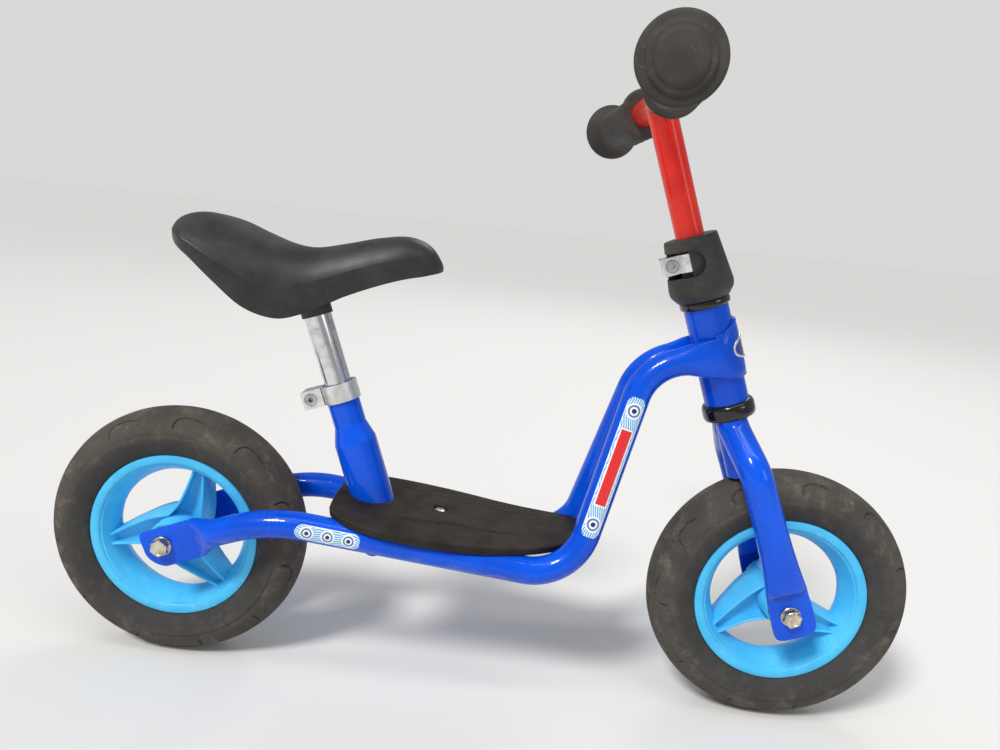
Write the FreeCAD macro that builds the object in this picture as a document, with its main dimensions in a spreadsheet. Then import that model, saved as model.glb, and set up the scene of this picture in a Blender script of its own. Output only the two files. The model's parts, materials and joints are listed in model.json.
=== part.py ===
import FreeCAD, Part
import math
import os
import re

import Sketcher

# Balance bike in millimetres. X points forward, Y to the rider's left and Z up. The origin lies on
# the ground, midway between the wheels. Lengths written "along" the steering column start level with
# the front axle; lengths along the seat tube start where its axis crosses the seat bridge.

SIZES = {
    # wheels
    "wheelbase": 508.0, "tyre_radius": 107.5, "tyre_half_width": 25.5, "tyre_swell": 86.5,
    "tread_half_width": 15.0, "tread_crown": 36.0, "wall_crown": 26.0, "bead_gap": 0.6,
    "bead_depth": 3.2, "flange_radius": 70.5, "flange_half_width": 18.2, "flange_width": 7.5,
    "barrel_radius": 53.0, "barrel_wall": 3.0, "hub_radius": 15.5, "hub_half_length": 30.0,
    "hub_bore": 10.0, "hub_cone_radius": 18.5, "axle_radius": 6.0, "rib_wall": 2.0,
    "rib_half_depth": 18.2, "rib_tip": 59.2, "rib_tip_depth": 11.0, "rib_trim": 61.5,
    "rib_trim_depth": 15.2, "web_half_depth": 5.0, "rear_spoke_turn": 70.5,
    "front_spoke_turn": 94.5, "bush_flange": 14.0, "bush_end": 32.0,
    # clearances
    "running_gap": 0.05, "turning_gap": 0.06, "drill_gap": 0.2,
    # axle bolts
    "bolt_width": 13.0, "bolt_head": 5.3, "bolt_radius": 4.0, "bolt_depth": 16.0,
    "washer_radius": 8.0, "washer_thick": 1.6, "plate_thick": 4.0,
    "rear_plate_middle": 36.0, "front_plate_middle": 40.8,
    # frame tubes
    "tube_radius": 11.0, "tube_wall": 1.5, "stay_angle": 22.0, "stay_end": 16.0, "stay_top": 14.6,
    "stay_bottom": 18.0, "stay_top_corner": 4.0, "stay_low_corner": 14.0, "stay_flat": 27.0,
    "stay_round": 46.0,
    "stay_bend_x": 89.5, "stay_bend_y": 47.0, "stay_bend_z": 36.2, "stay_bend_radius": 120.0,
    "foot_bend_x": 331.0, "foot_bend_y": 42.0, "foot_bend_z": 11.5, "foot_bend_radius": 44.0,
    "neck_bend_back": 58.5, "neck_bend_y": 14.0, "neck_bend_radius": 42.0, "neck_along": 216.7,
    "neck_round_back": 33.0, "neck_flat_back": 15.0, "vent_radius": 2.5,
    # steering column
    "head_angle": 69.03, "fork_offset": 3.5, "head_low": 173.3, "head_high": 252.2,
    "head_radius": 17.5, "head_bore": 15.0, "lug_wall": 2.8, "lug_low": 193.7, "lug_high": 236.7,
    "lug_side_low": 195.7, "lug_side_high": 228.5, "badge_along": 215.4, "badge_half_height": 9.5,
    "badge_half_width": 17.0, "badge_thick": 1.0, "lower_ring": 13.6, "lower_ring_radius": 21.0,
    "upper_ring": 6.4, "upper_ring_radius": 19.8, "bush_spigot": 14.0,
    "steerer_radius": 12.7, "steerer_bore": 11.25, "steerer_low": 109.7, "steerer_high": 299.0,
    # fork blades
    "blade_radius": 12.4, "blade_wall": 1.5, "blade_top_y": 7.0, "blade_top": 166.0,
    "blade_high": 154.0, "blade_low": 122.0, "blade_y": 40.0, "blade_bend": 24.0,
    "blade_top_x": -1.5, "blade_low_x": 1.6, "blade_foot_x": 5.0, "blade_straight": 104.0,
    "blade_foot": 22.0, "blade_foot_half": 15.8, "blade_foot_thin": 7.6,
    # stem clamp and its cover
    "clamp_low": 283.0, "clamp_height": 14.0, "clamp_radius": 17.0, "ear_back": 26.5,
    "ear_half": 9.0, "ear_bolt_back": 19.6, "slit_half": 1.0, "socket_head": 5.0,
    "socket_depth": 5.0, "socket_shank": 2.5, "key_radius": 2.3, "cover_low": 258.8, "cover_high": 308.2,
    "cover_belly": 268.7, "cover_low_radius": 20.4, "cover_belly_radius": 25.0,
    "cover_top_radius": 19.6, "cover_bore": 18.2, "cover_roof": 300.5, "cover_slot_low": 279.0,
    "cover_slot_high": 299.5, "cover_slot_front": 7.0, "cover_recess_front": 3.0,
    "cover_recess_floor": 18.6,
    # handlebar
    "stem_radius": 11.1, "stem_low": 200.0, "bar_along": 411.7, "bar_radius": 11.0,
    "bar_wall": 1.6, "bar_bend_y": 53.0, "bar_bend_radius": 110.0, "bar_end_y": 166.0,
    "bar_end_back": 17.0, "bar_end_rise": 1.5, "grip_start": 9.0, "grip_length": 110.0,
    "grip_radius": 16.5, "grip_swell": 19.0, "grip_lip": 20.5, "grip_disc": 25.2,
    "grip_step": 19.2, "grip_dome": 15.0, "grip_tier": 3.0,
    # seat tube, post and clamp
    "seat_tilt": 20.0, "seat_foot_x": 171.2, "seat_foot_z": 19.5, "seat_tube_low_radius": 17.5,
    "seat_tube_radius": 13.2, "seat_cone_low": 79.3, "seat_cone_high": 94.0, "seat_tube_high": 129.0,
    "post_radius": 11.0, "post_bore": 9.5, "post_low": 62.0, "post_high": 192.0,
    "seat_clamp_low": 115.0, "seat_clamp_height": 15.0, "seat_clamp_radius": 15.2,
    "seat_ear_back": 30.4, "seat_ear_half": 9.0, "seat_bolt_back": 23.2, "ear_corner": 1.0,
    # saddle
    "base_thick": 4.0, "bracket_grip": 5.0, "bracket_radius": 12.6,
    # footboard
    "deck_slope": 6.1, "deck_height": 48.5, "deck_level_x": 160.0, "deck_crown": 4.5,
    "deck_skirt": 6.5, "deck_wall": 3.0, "deck_rise_start": 95.0, "deck_nose_lift": 10.0,
    "deck_slot_half": 18.2, "deck_slot_centre": 0.7, "screw_x": 220.0,
    "screw_head": 5.0, "screw_shank": 2.0, "screw_sink": 3.0, "screw_length": 20.0,
    "deck_boss": 12.0, "deck_boss_radius": 8.0, "bracket_top": 29.0, "bracket_width": 20.0,
    "bracket_thick": 3.0, "bridge_radius": 8.0,
}

document = FreeCAD.newDocument("BalanceBike")
sheet = document.addObject("Spreadsheet::Sheet", "Sizes")
for row, (name, size) in enumerate(SIZES.items(), start=1):
    sheet.set(f"A{row}", name)
    sheet.set(f"B{row}", str(size))
    sheet.setAlias(f"B{row}", name)
document.recompute()


def value(name):
    return float(sheet.get(name))


def withSheet(expression):
    """Writes the sheet's name in front of every alias of an expression."""
    return re.sub(r"[a-z][a-z_]+", lambda word: "Sizes." + word[0] if word[0] in SIZES else word[0],
                  expression)


def measure(expression):
    return float(sheet.evalExpression(withSheet(expression)))


def bind(item, **expressions):
    for prop, expression in expressions.items():
        item.setExpression(prop, withSheet(expression))


subparts = []


def finish(item, label, placement=None):
    """Names a finished sub-part and puts it where it belongs on the bike."""
    item.Label = label
    if placement:
        item.Placement = placement
    subparts.append(item)
    return item


# ---- frames of reference -------------------------------------------------------------------------

FORWARD = FreeCAD.Vector(1, 0, 0)
LEFT = FreeCAD.Vector(0, 1, 0)
UP = FreeCAD.Vector(0, 0, 1)

REAR_AXLE = FreeCAD.Vector(-value("wheelbase") / 2, 0, value("tyre_radius"))
FRONT_AXLE = FreeCAD.Vector(value("wheelbase") / 2, 0, value("tyre_radius"))
COLUMN_TURN = FreeCAD.Rotation(LEFT, value("head_angle") - 90)
COLUMN_FOOT = FRONT_AXLE - COLUMN_TURN.multVec(FORWARD) * value("fork_offset")
COLUMN = FreeCAD.Placement(COLUMN_FOOT, COLUMN_TURN)
SEAT = FreeCAD.Placement(
    REAR_AXLE + FreeCAD.Vector(value("seat_foot_x"), 0, value("seat_foot_z")),
    FreeCAD.Rotation(LEFT, -value("seat_tilt")))
SIDEWAYS = FreeCAD.Rotation(FORWARD, -90)

BEYOND = 80          # long enough to pass right through whatever it cuts
OVERLAP = 3          # how far a flared end reaches over its round tube
WELD_LIP = 0.2       # how much larger the flared end is there


# ---- building blocks -----------------------------------------------------------------------------

def plane(body, role):
    return next(item for item in body.Origin.OriginFeatures if item.Role == role)


def sketchOn(body, role, height=None):
    """A sketch on one of the body's own planes, moved along the plane's normal by height."""
    sketch = body.newObject("Sketcher::SketchObject", body.Name + "Sketch")
    sketch.AttachmentSupport = [(plane(body, role), "")]
    sketch.MapMode = "FlatFace"
    if height:
        sketch.setExpression("AttachmentOffset.Base.z", withSheet(height))
    return sketch


def constrain(sketch, kind, *arguments):
    """Adds a dimension whose last argument is an expression over the sheet."""
    expression = arguments[-1]
    index = sketch.addConstraint(
        Sketcher.Constraint(kind, *arguments[:-1], measure(expression)))
    sketch.setExpression(f"Constraints[{index}]", withSheet(expression))


def drawOutline(sketch, corners):
    """Closed outline through corners (x, y) or (x, y, radius) given as expressions. A radius makes
    the side that leaves the corner an arc: positive bulges to the right of travel."""
    spots = [FreeCAD.Vector(measure(corner[0]), measure(corner[1]), 0) for corner in corners]
    sides = []
    for index, corner in enumerate(corners):
        start = spots[index]
        stop = spots[(index + 1) % len(spots)]
        if len(corner) == 2:
            edge = sketch.addGeometry(Part.LineSegment(start, stop))
            sides.append((edge, 1, 2))
            continue
        radius = measure(corner[2])
        chord = stop - start
        right = FreeCAD.Vector(chord.y, -chord.x, 0).normalize()
        rise = math.sqrt(max(0, radius ** 2 - (chord.Length / 2) ** 2))
        centre = (start + stop) * 0.5 - right * math.copysign(rise, radius)
        first, last = (start, stop) if radius > 0 else (stop, start)
        angles = [math.atan2(spot.y - centre.y, spot.x - centre.x) for spot in (first, last)]
        circle = Part.Circle(centre, UP, abs(radius))
        edge = sketch.addGeometry(Part.ArcOfCircle(circle, *angles))
        sides.append((edge, 1, 2) if radius > 0 else (edge, 2, 1))
        halfTurn = chord.Length > 1.9999 * abs(radius)
        if not halfTurn:
            constrain(sketch, "Radius", edge, corner[2].lstrip("-"))
    for index, (edge, start, stop) in enumerate(sides):
        following = sides[(index + 1) % len(sides)]
        sketch.addConstraint(Sketcher.Constraint("Coincident", edge, stop, *following[:2]))
        constrain(sketch, "DistanceX", -1, 1, edge, start, corners[index][0])
        constrain(sketch, "DistanceY", -1, 1, edge, start, corners[index][1])


def drawCircle(sketch, x, y, radius):
    centre = FreeCAD.Vector(measure(x), measure(y), 0)
    edge = sketch.addGeometry(Part.Circle(centre, UP, measure(radius)))
    constrain(sketch, "DistanceX", -1, 1, edge, 3, x)
    constrain(sketch, "DistanceY", -1, 1, edge, 3, y)
    constrain(sketch, "Radius", edge, radius)


def newBody(name):
    return document.addObject("PartDesign::Body", name)


def turned(name, corners):
    """A body turned about its own Z axis; corners are (radius, height) expressions."""
    body = newBody(name)
    sketch = sketchOn(body, "XZ_Plane")
    drawOutline(sketch, corners)
    turning = body.newObject("PartDesign::Revolution", name + "Turning")
    turning.Profile = sketch
    turning.ReferenceAxis = (sketch, ["V_Axis"])
    turning.Angle = 360
    body.Tip = turning
    document.recompute()
    return body


def pad(body, sketch, length, middle=False, backward=False):
    """Raises a sketch by length, to both sides of its plane when middle is set."""
    feature = body.newObject("PartDesign::Pad", body.Name + "Pad")
    feature.Profile = sketch
    feature.SideType = "Symmetric" if middle else "One side"
    feature.Reversed = backward
    bind(feature, Length=length)
    body.Tip = feature
    document.recompute()
    return feature


def pocket(body, sketch, length, middle=False, backward=False):
    """Cuts a sketch away, and makes sure that the cut has met the solid."""
    before = body.Shape.Volume
    feature = body.newObject("PartDesign::Pocket", body.Name + "Pocket")
    feature.Profile = sketch
    feature.SideType = "Symmetric" if middle else "One side"
    feature.Reversed = backward
    bind(feature, Length=length)
    body.Tip = feature
    document.recompute()
    if body.Shape.Volume >= before - 0.01:
        raise RuntimeError(f"{body.Name}: the pocket cuts nothing")
    return feature


def roundEdges(body, radius, chosen):
    """Rounds the edges of the body's last feature for which chosen(edge) holds."""
    base = body.Tip
    names = [f"Edge{number}" for number, edge in enumerate(base.Shape.Edges, start=1) if chosen(edge)]
    feature = body.newObject("PartDesign::Fillet", body.Name + "Rounding")
    feature.Base = (base, names)
    feature.setExpression("Radius", withSheet(radius))
    body.Tip = feature
    document.recompute()
    return feature


def ring(name, outer, inner, low, high):
    """A plain ring about the Z axis."""
    return turned(name, [(inner, low), (outer, low), (outer, high), (inner, high)])


def solidFeature(name, shape, label, placement=None):
    """A sub-part whose shape comes from Part's own functions."""
    feature = document.addObject("Part::Feature", name)
    feature.Shape = shape
    return finish(feature, label, placement)


def route(points, radii):
    """Straight runs through points, joined by tangent arcs of the given radii."""
    edges = []
    start = points[0]
    for corner, following, radius in zip(points[1:], points[2:], radii):
        inward = (corner - start).normalize()
        outward = (following - corner).normalize()
        turn = inward.getAngle(outward)
        reach = radius * math.tan(turn / 2)
        begin = corner - inward * reach
        end = corner + outward * reach
        toCentre = (outward - inward).normalize()
        middle = corner + toCentre * (radius / math.cos(turn / 2) - radius)
        edges.append(Part.LineSegment(start, begin).toShape())
        edges.append(Part.Arc(begin, middle, end).toShape())
        start = end
    edges.append(Part.LineSegment(start, points[-1]).toShape())
    return Part.Wire(edges)


def swept(path, radius):
    """A round bar along a route; its volume must be its section times its length."""
    begin = path.Vertexes[0].Point
    circle = Part.Circle(begin, path.Edges[0].tangentAt(path.Edges[0].FirstParameter), radius)
    bar = path.makePipeShell([Part.Wire(circle.toShape())], True, False)
    expected = math.pi * radius ** 2 * path.Length
    if abs(bar.Volume - expected) > 0.01 * expected:
        raise RuntimeError("a swept tube has the wrong volume")
    return bar


def oval(centre, across, upward, halfAcross, halfUpward):
    """A closed oval wire through twelve even steps of its angle."""
    steps = [2 * math.pi * step / 12 for step in range(12)]
    points = [centre + across * (halfAcross * math.cos(step)) + upward * (halfUpward * math.sin(step))
              for step in steps]
    curve = Part.BSplineCurve()
    curve.interpolate(points, PeriodicFlag=True)
    return Part.Wire(curve.toShape())


def mirrored(shape):
    return shape.mirror(FreeCAD.Vector(0, 0, 0), LEFT)


# ---- wheels --------------------------------------------------------------------------------------

def addTyre(side, placement):
    """Foam tyre: a rounded tread, a swelling side wall and a V-shaped seat on the rim's barrel."""
    seat = "flange_radius - bead_depth - 0.9"
    rim = "flange_radius + bead_gap"
    shoulder = "tyre_radius - tread_crown + sqrt(tread_crown ^ 2 - tread_half_width ^ 2)"
    body = turned(side + "Tyre", [
        ("barrel_radius + barrel_wall + 0.1", "0"),
        (seat, "-flange_half_width + bead_depth"),
        (rim, "-flange_half_width + bead_depth"),
        (rim, "-flange_half_width"),
        ("tyre_swell", "-tyre_half_width", "wall_crown"),
        (shoulder, "-tread_half_width", "tread_crown"),
        (shoulder, "tread_half_width", "wall_crown"),
        ("tyre_swell", "tyre_half_width"),
        (rim, "flange_half_width"),
        (rim, "flange_half_width - bead_depth"),
        (seat, "flange_half_width - bead_depth")])
    return finish(body, side + "_tyre", placement)


# The two ribs of a spoke from its tip to the hub, as place along the spoke and place aside of it: the
# rib that leads the spoke's turn is nearly straight and the other one swings round the hub.
SPOKE_RIBS = {
    "ahead": [(61, 6.3), (58.6, 6.2), (50, 5.9), (40, 5.7), (30, 6.1), (22, 7.8), (15.2, 9.9), (11.5, 11)],
    "behind": [(61, -0.8), (58.6, -1.6), (50.5, -4.9), (43, -7.9), (36, -10.4), (29.5, -12.7),
               (22, -15.1), (13, -17.2), (7, -17.9), (1, -18.1)]}
HUB_ARC = [(10.9, 7.1), (13, 0), (11.3, -6.5), (6.5, -11.3), (0.7, -13)]


def bothSides(line):
    """A rib's outline on both sides of its middle line."""
    spots = [FreeCAD.Vector(*spot, 0) for spot in line]
    over, under = [], []
    for index, spot in enumerate(spots):
        along = spots[min(index + 1, len(spots) - 1)] - spots[max(index - 1, 0)]
        aside = FreeCAD.Vector(-along.y, along.x, 0).normalize() * value("rib_wall") / 2
        over.append((spot + aside)[:2])
        under.append((spot - aside)[:2])
    return over + under[::-1]


def inSketch(outline):
    """An outline seen from the bike's right, turned into corners of a wheel's sketch."""
    return [(str(x), str(-y)) for x, y in outline]


def addRim(side, placement, turn):
    """Moulded rim: barrel with flanges, hub and three hollow spokes with two ribs each."""
    body = newBody(side + "Rim")
    sketch = sketchOn(body, "XZ_Plane")
    inner = "flange_radius - flange_width"
    outer = "flange_radius - 4.2"
    drawOutline(sketch, [
        ("barrel_radius", "0"), (inner, "-flange_half_width + 1.2"), (inner, "-flange_half_width"),
        ("flange_radius", "-flange_half_width"), ("flange_radius", "-flange_half_width + 2.8"),
        (outer, "-flange_half_width + 3"), ("barrel_radius + barrel_wall", "0"),
        (outer, "flange_half_width - 3"), ("flange_radius", "flange_half_width - 2.8"),
        ("flange_radius", "flange_half_width"), (inner, "flange_half_width"),
        (inner, "flange_half_width - 1.2")])
    drawOutline(sketch, [
        ("hub_bore", "-hub_half_length"), ("hub_radius", "-hub_half_length"),
        ("hub_radius + 1.5", "-rib_half_depth"), ("hub_cone_radius", "-web_half_depth - 3"),
        ("hub_cone_radius", "web_half_depth + 3"), ("hub_radius + 1.5", "rib_half_depth"),
        ("hub_radius", "hub_half_length"), ("hub_bore", "hub_half_length")])
    turning = body.newObject("PartDesign::Revolution", side + "RimTurning")
    turning.Profile = sketch
    turning.ReferenceAxis = (sketch, ["V_Axis"])
    turning.Angle = 360
    body.Tip = turning
    document.recompute()

    web = sketchOn(body, "XY_Plane")
    drawOutline(web, inSketch([*SPOKE_RIBS["ahead"][:-1], *HUB_ARC, *reversed(SPOKE_RIBS["behind"])]))
    webPad = pad(body, web, "2 * web_half_depth", middle=True)
    ribs = sketchOn(body, "XY_Plane")
    for rib in (SPOKE_RIBS["ahead"], SPOKE_RIBS["behind"]):
        drawOutline(ribs, inSketch(bothSides(rib)))
    ribPad = pad(body, ribs, "2 * rib_half_depth", middle=True)

    pattern = body.newObject("PartDesign::PolarPattern", side + "SpokePattern")
    pattern.Originals = [webPad, ribPad]
    pattern.Axis = (web, ["N_Axis"])
    pattern.Angle = 360
    pattern.Occurrences = 3
    body.Tip = pattern
    document.recompute()

    outside = sketchOn(body, "XZ_Plane")
    drawOutline(outside, [("barrel_radius + barrel_wall", "0"), (outer, "-flange_half_width + 3"),
                          (outer, "flange_half_width - 3")])
    for face in ("", "-"):
        beyond = f"{face}(flange_half_width + 1)"
        drawOutline(outside, [
            ("hub_radius + 2", f"{face}rib_half_depth"), ("rib_tip", f"{face}rib_tip_depth"),
            ("rib_trim", f"{face}rib_trim_depth"), ("rib_trim", beyond),
            ("hub_radius + 2", beyond)])
    groove = body.newObject("PartDesign::Groove", side + "TyreSeat")
    groove.Profile = outside
    groove.ReferenceAxis = (outside, ["V_Axis"])
    groove.Angle = 360
    body.Tip = groove
    document.recompute()
    clocked = placement.multiply(FreeCAD.Placement(
        FreeCAD.Vector(), FreeCAD.Rotation(UP, -value(turn))))
    return finish(body, side + "_rim", clocked)


def addHubBushes(side, placement):
    """Two flanged bushes pressed into the hub's ends, made as one body per end."""
    body = turned(side + "HubBush", [
        ("axle_radius + running_gap", "hub_half_length - 12"), ("hub_bore", "hub_half_length - 12"),
        ("hub_bore", "hub_half_length"), ("bush_flange", "hub_half_length"),
        ("bush_flange", "bush_end"), ("axle_radius + running_gap", "bush_end")])
    pair = document.addObject("Part::Compound", side + "HubBushes")
    far = document.addObject("Part::Mirroring", side + "HubBushMirror")
    far.Source = body
    far.Normal = UP
    far.Base = FreeCAD.Vector()
    pair.Links = [body, far]
    document.recompute()
    return finish(pair, side + "_hub_bushes", placement)


def hexagon(sketch, width):
    """A hexagonal outline, flats left and right."""
    corners = []
    for angle in range(30, 390, 60):
        corners.append((f"{width} / sqrt(3) * cos({angle})", f"{width} / sqrt(3) * sin({angle})"))
    drawOutline(sketch, corners)


def addAxle(side, placement, plateMiddle):
    """Threaded sleeve between the plates, with a bolt and a washer outside each plate."""
    face = f"{plateMiddle} - plate_thick / 2"
    sleeve = ring(side + "Axle", "axle_radius", "bolt_radius", f"-({face})", face)
    finish(sleeve, side + "_axle", placement)

    outside = f"{plateMiddle} + plate_thick / 2"
    washer = ring(side + "Washer", "washer_radius", "bolt_radius + drill_gap", outside,
                  f"{outside} + washer_thick")
    bolt = newBody(side + "Bolt")
    head = sketchOn(bolt, "XY_Plane", f"{outside} + washer_thick")
    hexagon(head, "bolt_width")
    pad(bolt, head, "bolt_head")
    crown = sketchOn(bolt, "XY_Plane", f"{outside} + washer_thick")
    drawCircle(crown, "0", "0", "bolt_radius")
    pad(bolt, crown, "bolt_depth", backward=True)
    for source, plural in ((washer, "_axle_washers"), (bolt, "_axle_bolts")):
        far = document.addObject("Part::Mirroring", source.Name + "Mirror")
        far.Source = source
        far.Normal = UP
        far.Base = FreeCAD.Vector()
        pair = document.addObject("Part::Compound", source.Name + "Pair")
        pair.Links = [source, far]
        document.recompute()
        finish(pair, side + plural, placement)


rearWheel = FreeCAD.Placement(REAR_AXLE, SIDEWAYS)
frontWheel = FreeCAD.Placement(FRONT_AXLE, SIDEWAYS)
for side, placement in (("rear", rearWheel), ("front", frontWheel)):
    addTyre(side, placement)
    addRim(side, placement, side + "_spoke_turn")
    addHubBushes(side, placement)
    addAxle(side, placement, side + "_plate_middle")


# ---- frame ---------------------------------------------------------------------------------------

def besideRear(x, y, z):
    return REAR_AXLE + FreeCAD.Vector(value(x), value(y), value(z))


def onColumn(forward, left, along):
    return COLUMN.multVec(FreeCAD.Vector(forward, left, along))


def plateOutline(corners, y, thick, placement):
    """A flat plate whose outline (x, z, corner radius) lies at y in the placement's own axes."""
    points = [FreeCAD.Vector(x, y - thick / 2, z) for x, z, _ in corners]
    edges = []
    for index, (_, _, radius) in enumerate(corners):
        before, corner, after = points[index - 1], points[index], points[(index + 1) % len(points)]
        inward = (corner - before).normalize()
        outward = (after - corner).normalize()
        turn = inward.getAngle(outward)
        reach = radius * math.tan(turn / 2)
        toCentre = (outward - inward).normalize()
        middle = corner + toCentre * (radius / math.cos(turn / 2) - radius)
        edges.append(Part.Arc(corner - inward * reach, middle, corner + outward * reach).toShape())
    closed = []
    for index, arc in enumerate(edges):
        following = edges[(index + 1) % len(edges)]
        closed.append(arc)
        closed.append(Part.LineSegment(arc.Vertexes[-1].Point, following.Vertexes[0].Point).toShape())
    face = Part.Face(Part.Wire(Part.__sortEdges__(closed)))
    plateSolid = face.extrude(FreeCAD.Vector(0, thick, 0))
    plateSolid.Placement = placement
    return plateSolid


def frameTubeRoute():
    """The left tube's middle line, from its rear plate to the flattened end on the head tube."""
    plateSpot = REAR_AXLE + LEFT * value("rear_plate_middle")
    stayBend = besideRear("stay_bend_x", "stay_bend_y", "stay_bend_z")
    footBend = besideRear("foot_bend_x", "foot_bend_y", "foot_bend_z")
    neckBend = onColumn(-value("neck_bend_back"), value("neck_bend_y"), value("neck_along"))
    neckEnd = onColumn(-value("neck_round_back"), value("neck_bend_y") + 1, value("neck_along"))
    start = plateSpot + (stayBend - plateSpot).normalize() * value("stay_round")
    radii = [value("stay_bend_radius"), value("foot_bend_radius"), value("neck_bend_radius")]
    return route([start, stayBend, footBend, neckBend, neckEnd + (neckEnd - neckBend) * 0.02], radii)


def leftFrameTube():
    """Bent tube with a crushed, drilled rear plate and a front end flattened against the head tube."""
    path = frameTubeRoute()
    radius = value("tube_radius")
    tube = swept(path, radius)
    bore = swept(path, radius - value("tube_wall"))

    lean = FreeCAD.Rotation(LEFT, -value("stay_angle"))
    plateMiddle = value("rear_plate_middle")
    halfTall = (value("stay_top") + value("stay_bottom")) / 2
    centreUp = (value("stay_top") - value("stay_bottom")) / 2
    onPlate = FreeCAD.Placement(REAR_AXLE, lean)
    thick = value("plate_thick")
    end, flat = -value("stay_end"), value("stay_flat")
    rearPlate = plateOutline(
        [(end, -value("stay_bottom"), value("stay_low_corner")), (flat, -value("stay_bottom"), 0.5),
         (flat, value("stay_top"), 0.5), (end, value("stay_top"), value("stay_top_corner"))],
        plateMiddle, thick, onPlate)
    flatSpot = onPlate.multVec(FreeCAD.Vector(flat - OVERLAP, plateMiddle, centreUp))
    tubeStart = path.Vertexes[0].Point
    heading = path.Edges[0].tangentAt(path.Edges[0].FirstParameter)
    halfway = (flatSpot + tubeStart) * 0.5
    up = lean.multVec(UP)
    sideways = heading.cross(up).normalize()
    rearFlare = Part.makeLoft([
        oval(flatSpot, LEFT, up, thick / 2 + WELD_LIP, halfTall - 0.4),
        oval(halfway, sideways, up, radius * 0.62, radius * 1.22),
        oval(tubeStart - heading, sideways, up, radius + WELD_LIP, radius + WELD_LIP),
        oval(tubeStart + heading * OVERLAP, sideways, up, radius + WELD_LIP, radius + WELD_LIP)], True)

    neck = path.Vertexes[-1].Point
    along = COLUMN_TURN.multVec(UP)
    wrap = value("head_radius") + value("lug_wall") / 2 + value("running_gap")
    lugMiddle = (value("lug_side_low") + value("lug_side_high")) / 2
    lugHalf = (value("lug_side_high") - value("lug_side_low")) / 2
    flattened = onColumn(-value("neck_flat_back"), wrap, lugMiddle)
    between = (neck + flattened) * 0.5
    neckHeading = COLUMN_TURN.multVec(FORWARD)
    frontFlare = Part.makeLoft([
        oval(neck - neckHeading * OVERLAP, LEFT, along, radius + WELD_LIP, radius + WELD_LIP),
        oval(neck + neckHeading, LEFT, along, radius + WELD_LIP, radius + WELD_LIP),
        oval(between, LEFT, along, radius * 0.66, radius * 1.2),
        oval(flattened, LEFT, along, value("lug_wall") / 2, lugHalf)], True)

    whole = tube.multiFuse([rearPlate, rearFlare, frontFlare])
    hole = Part.makeCylinder(value("bolt_radius") + value("drill_gap"), BEYOND, REAR_AXLE, LEFT)
    lowest = besideRear("foot_bend_x", "foot_bend_y", "foot_bend_z")
    ventSpot = lowest - FORWARD * 60 + FreeCAD.Vector(0, -1.5 * radius, value("tube_radius") * 0.5)
    vent = Part.makeCylinder(value("vent_radius"), 1.5 * radius, ventSpot, LEFT)
    headSide = Part.makeCylinder(
        value("head_radius") + value("running_gap"), value("head_high") - value("head_low"),
        onColumn(0, 0, value("head_low")), along)
    middleGap = Part.makeBox(400, 5, 300, FreeCAD.Vector(0, -5, 100))
    return whole.cut(bore).cut(hole).cut(vent).cut(headSide).cut(middleGap)


leftTube = leftFrameTube()
solidFeature("LeftFrameTube", leftTube, "left_frame_tube")
solidFeature("RightFrameTube", mirrored(leftTube), "right_frame_tube")

finish(ring("HeadTube", "head_radius", "head_bore", "head_low", "head_high"), "head_tube", COLUMN)


def addHeadLug():
    """The flattened tube ends: a U-shaped band that wraps the front of the head tube."""
    lug = newBody("HeadLug")
    band = sketchOn(lug, "XY_Plane", "lug_low")
    inner = "head_radius + running_gap"
    outer = "head_radius + running_gap + lug_wall"
    drawOutline(band, [
        ("-neck_flat_back", f"-({outer})"), ("0", f"-({outer})", outer), (outer, "0", outer),
        ("0", outer), ("-neck_flat_back", outer), ("-neck_flat_back", inner),
        ("0", inner, f"-({inner})"), (inner, "0", f"-({inner})"), ("0", f"-({inner})"),
        ("-neck_flat_back", f"-({inner})")])
    pad(lug, band, "lug_high - lug_low")
    for low, high in (("lug_side_high", "lug_high + 5"), ("lug_side_low", "lug_low - 5")):
        trim = sketchOn(lug, "XZ_Plane")
        corners = [("-neck_flat_back - 5", low), ("0", low), ("12", high.split(" ")[0]), ("12", high),
                   ("-neck_flat_back - 5", high)]
        drawOutline(trim, corners)
        pocket(lug, trim, str(BEYOND), middle=True)
    finish(lug, "head_lug", COLUMN)


addHeadLug()


def addHeadBadge():
    """A blank oval badge, curved round the front of the lug."""
    shell = document.addObject("Part::Cut", "HeadBadgeShell")
    lift = "head_radius + lug_wall + 0.1"
    cylinders = []
    for name, radius in (("HeadBadgeOuter", f"{lift} + badge_thick"), ("HeadBadgeInner", lift)):
        cylinder = document.addObject("Part::Cylinder", name)
        bind(cylinder, Radius=radius, Height="2 * badge_half_height")
        cylinder.setExpression("Placement.Base.z", withSheet("badge_along - badge_half_height"))
        cylinders.append(cylinder)
    shell.Base, shell.Tool = cylinders
    prism = newBody("HeadBadgeOval")
    outline = sketchOn(prism, "YZ_Plane")
    ellipse = Part.Ellipse(FreeCAD.Vector(0, measure("badge_along"), 0),
                           measure("badge_half_width"), measure("badge_half_height"))
    outline.addGeometry(ellipse)
    pad(prism, outline, str(BEYOND))
    badge = document.addObject("Part::Common", "HeadBadge")
    badge.Base = shell
    badge.Tool = prism
    finish(badge, "head_badge", COLUMN)


addHeadBadge()

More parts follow.
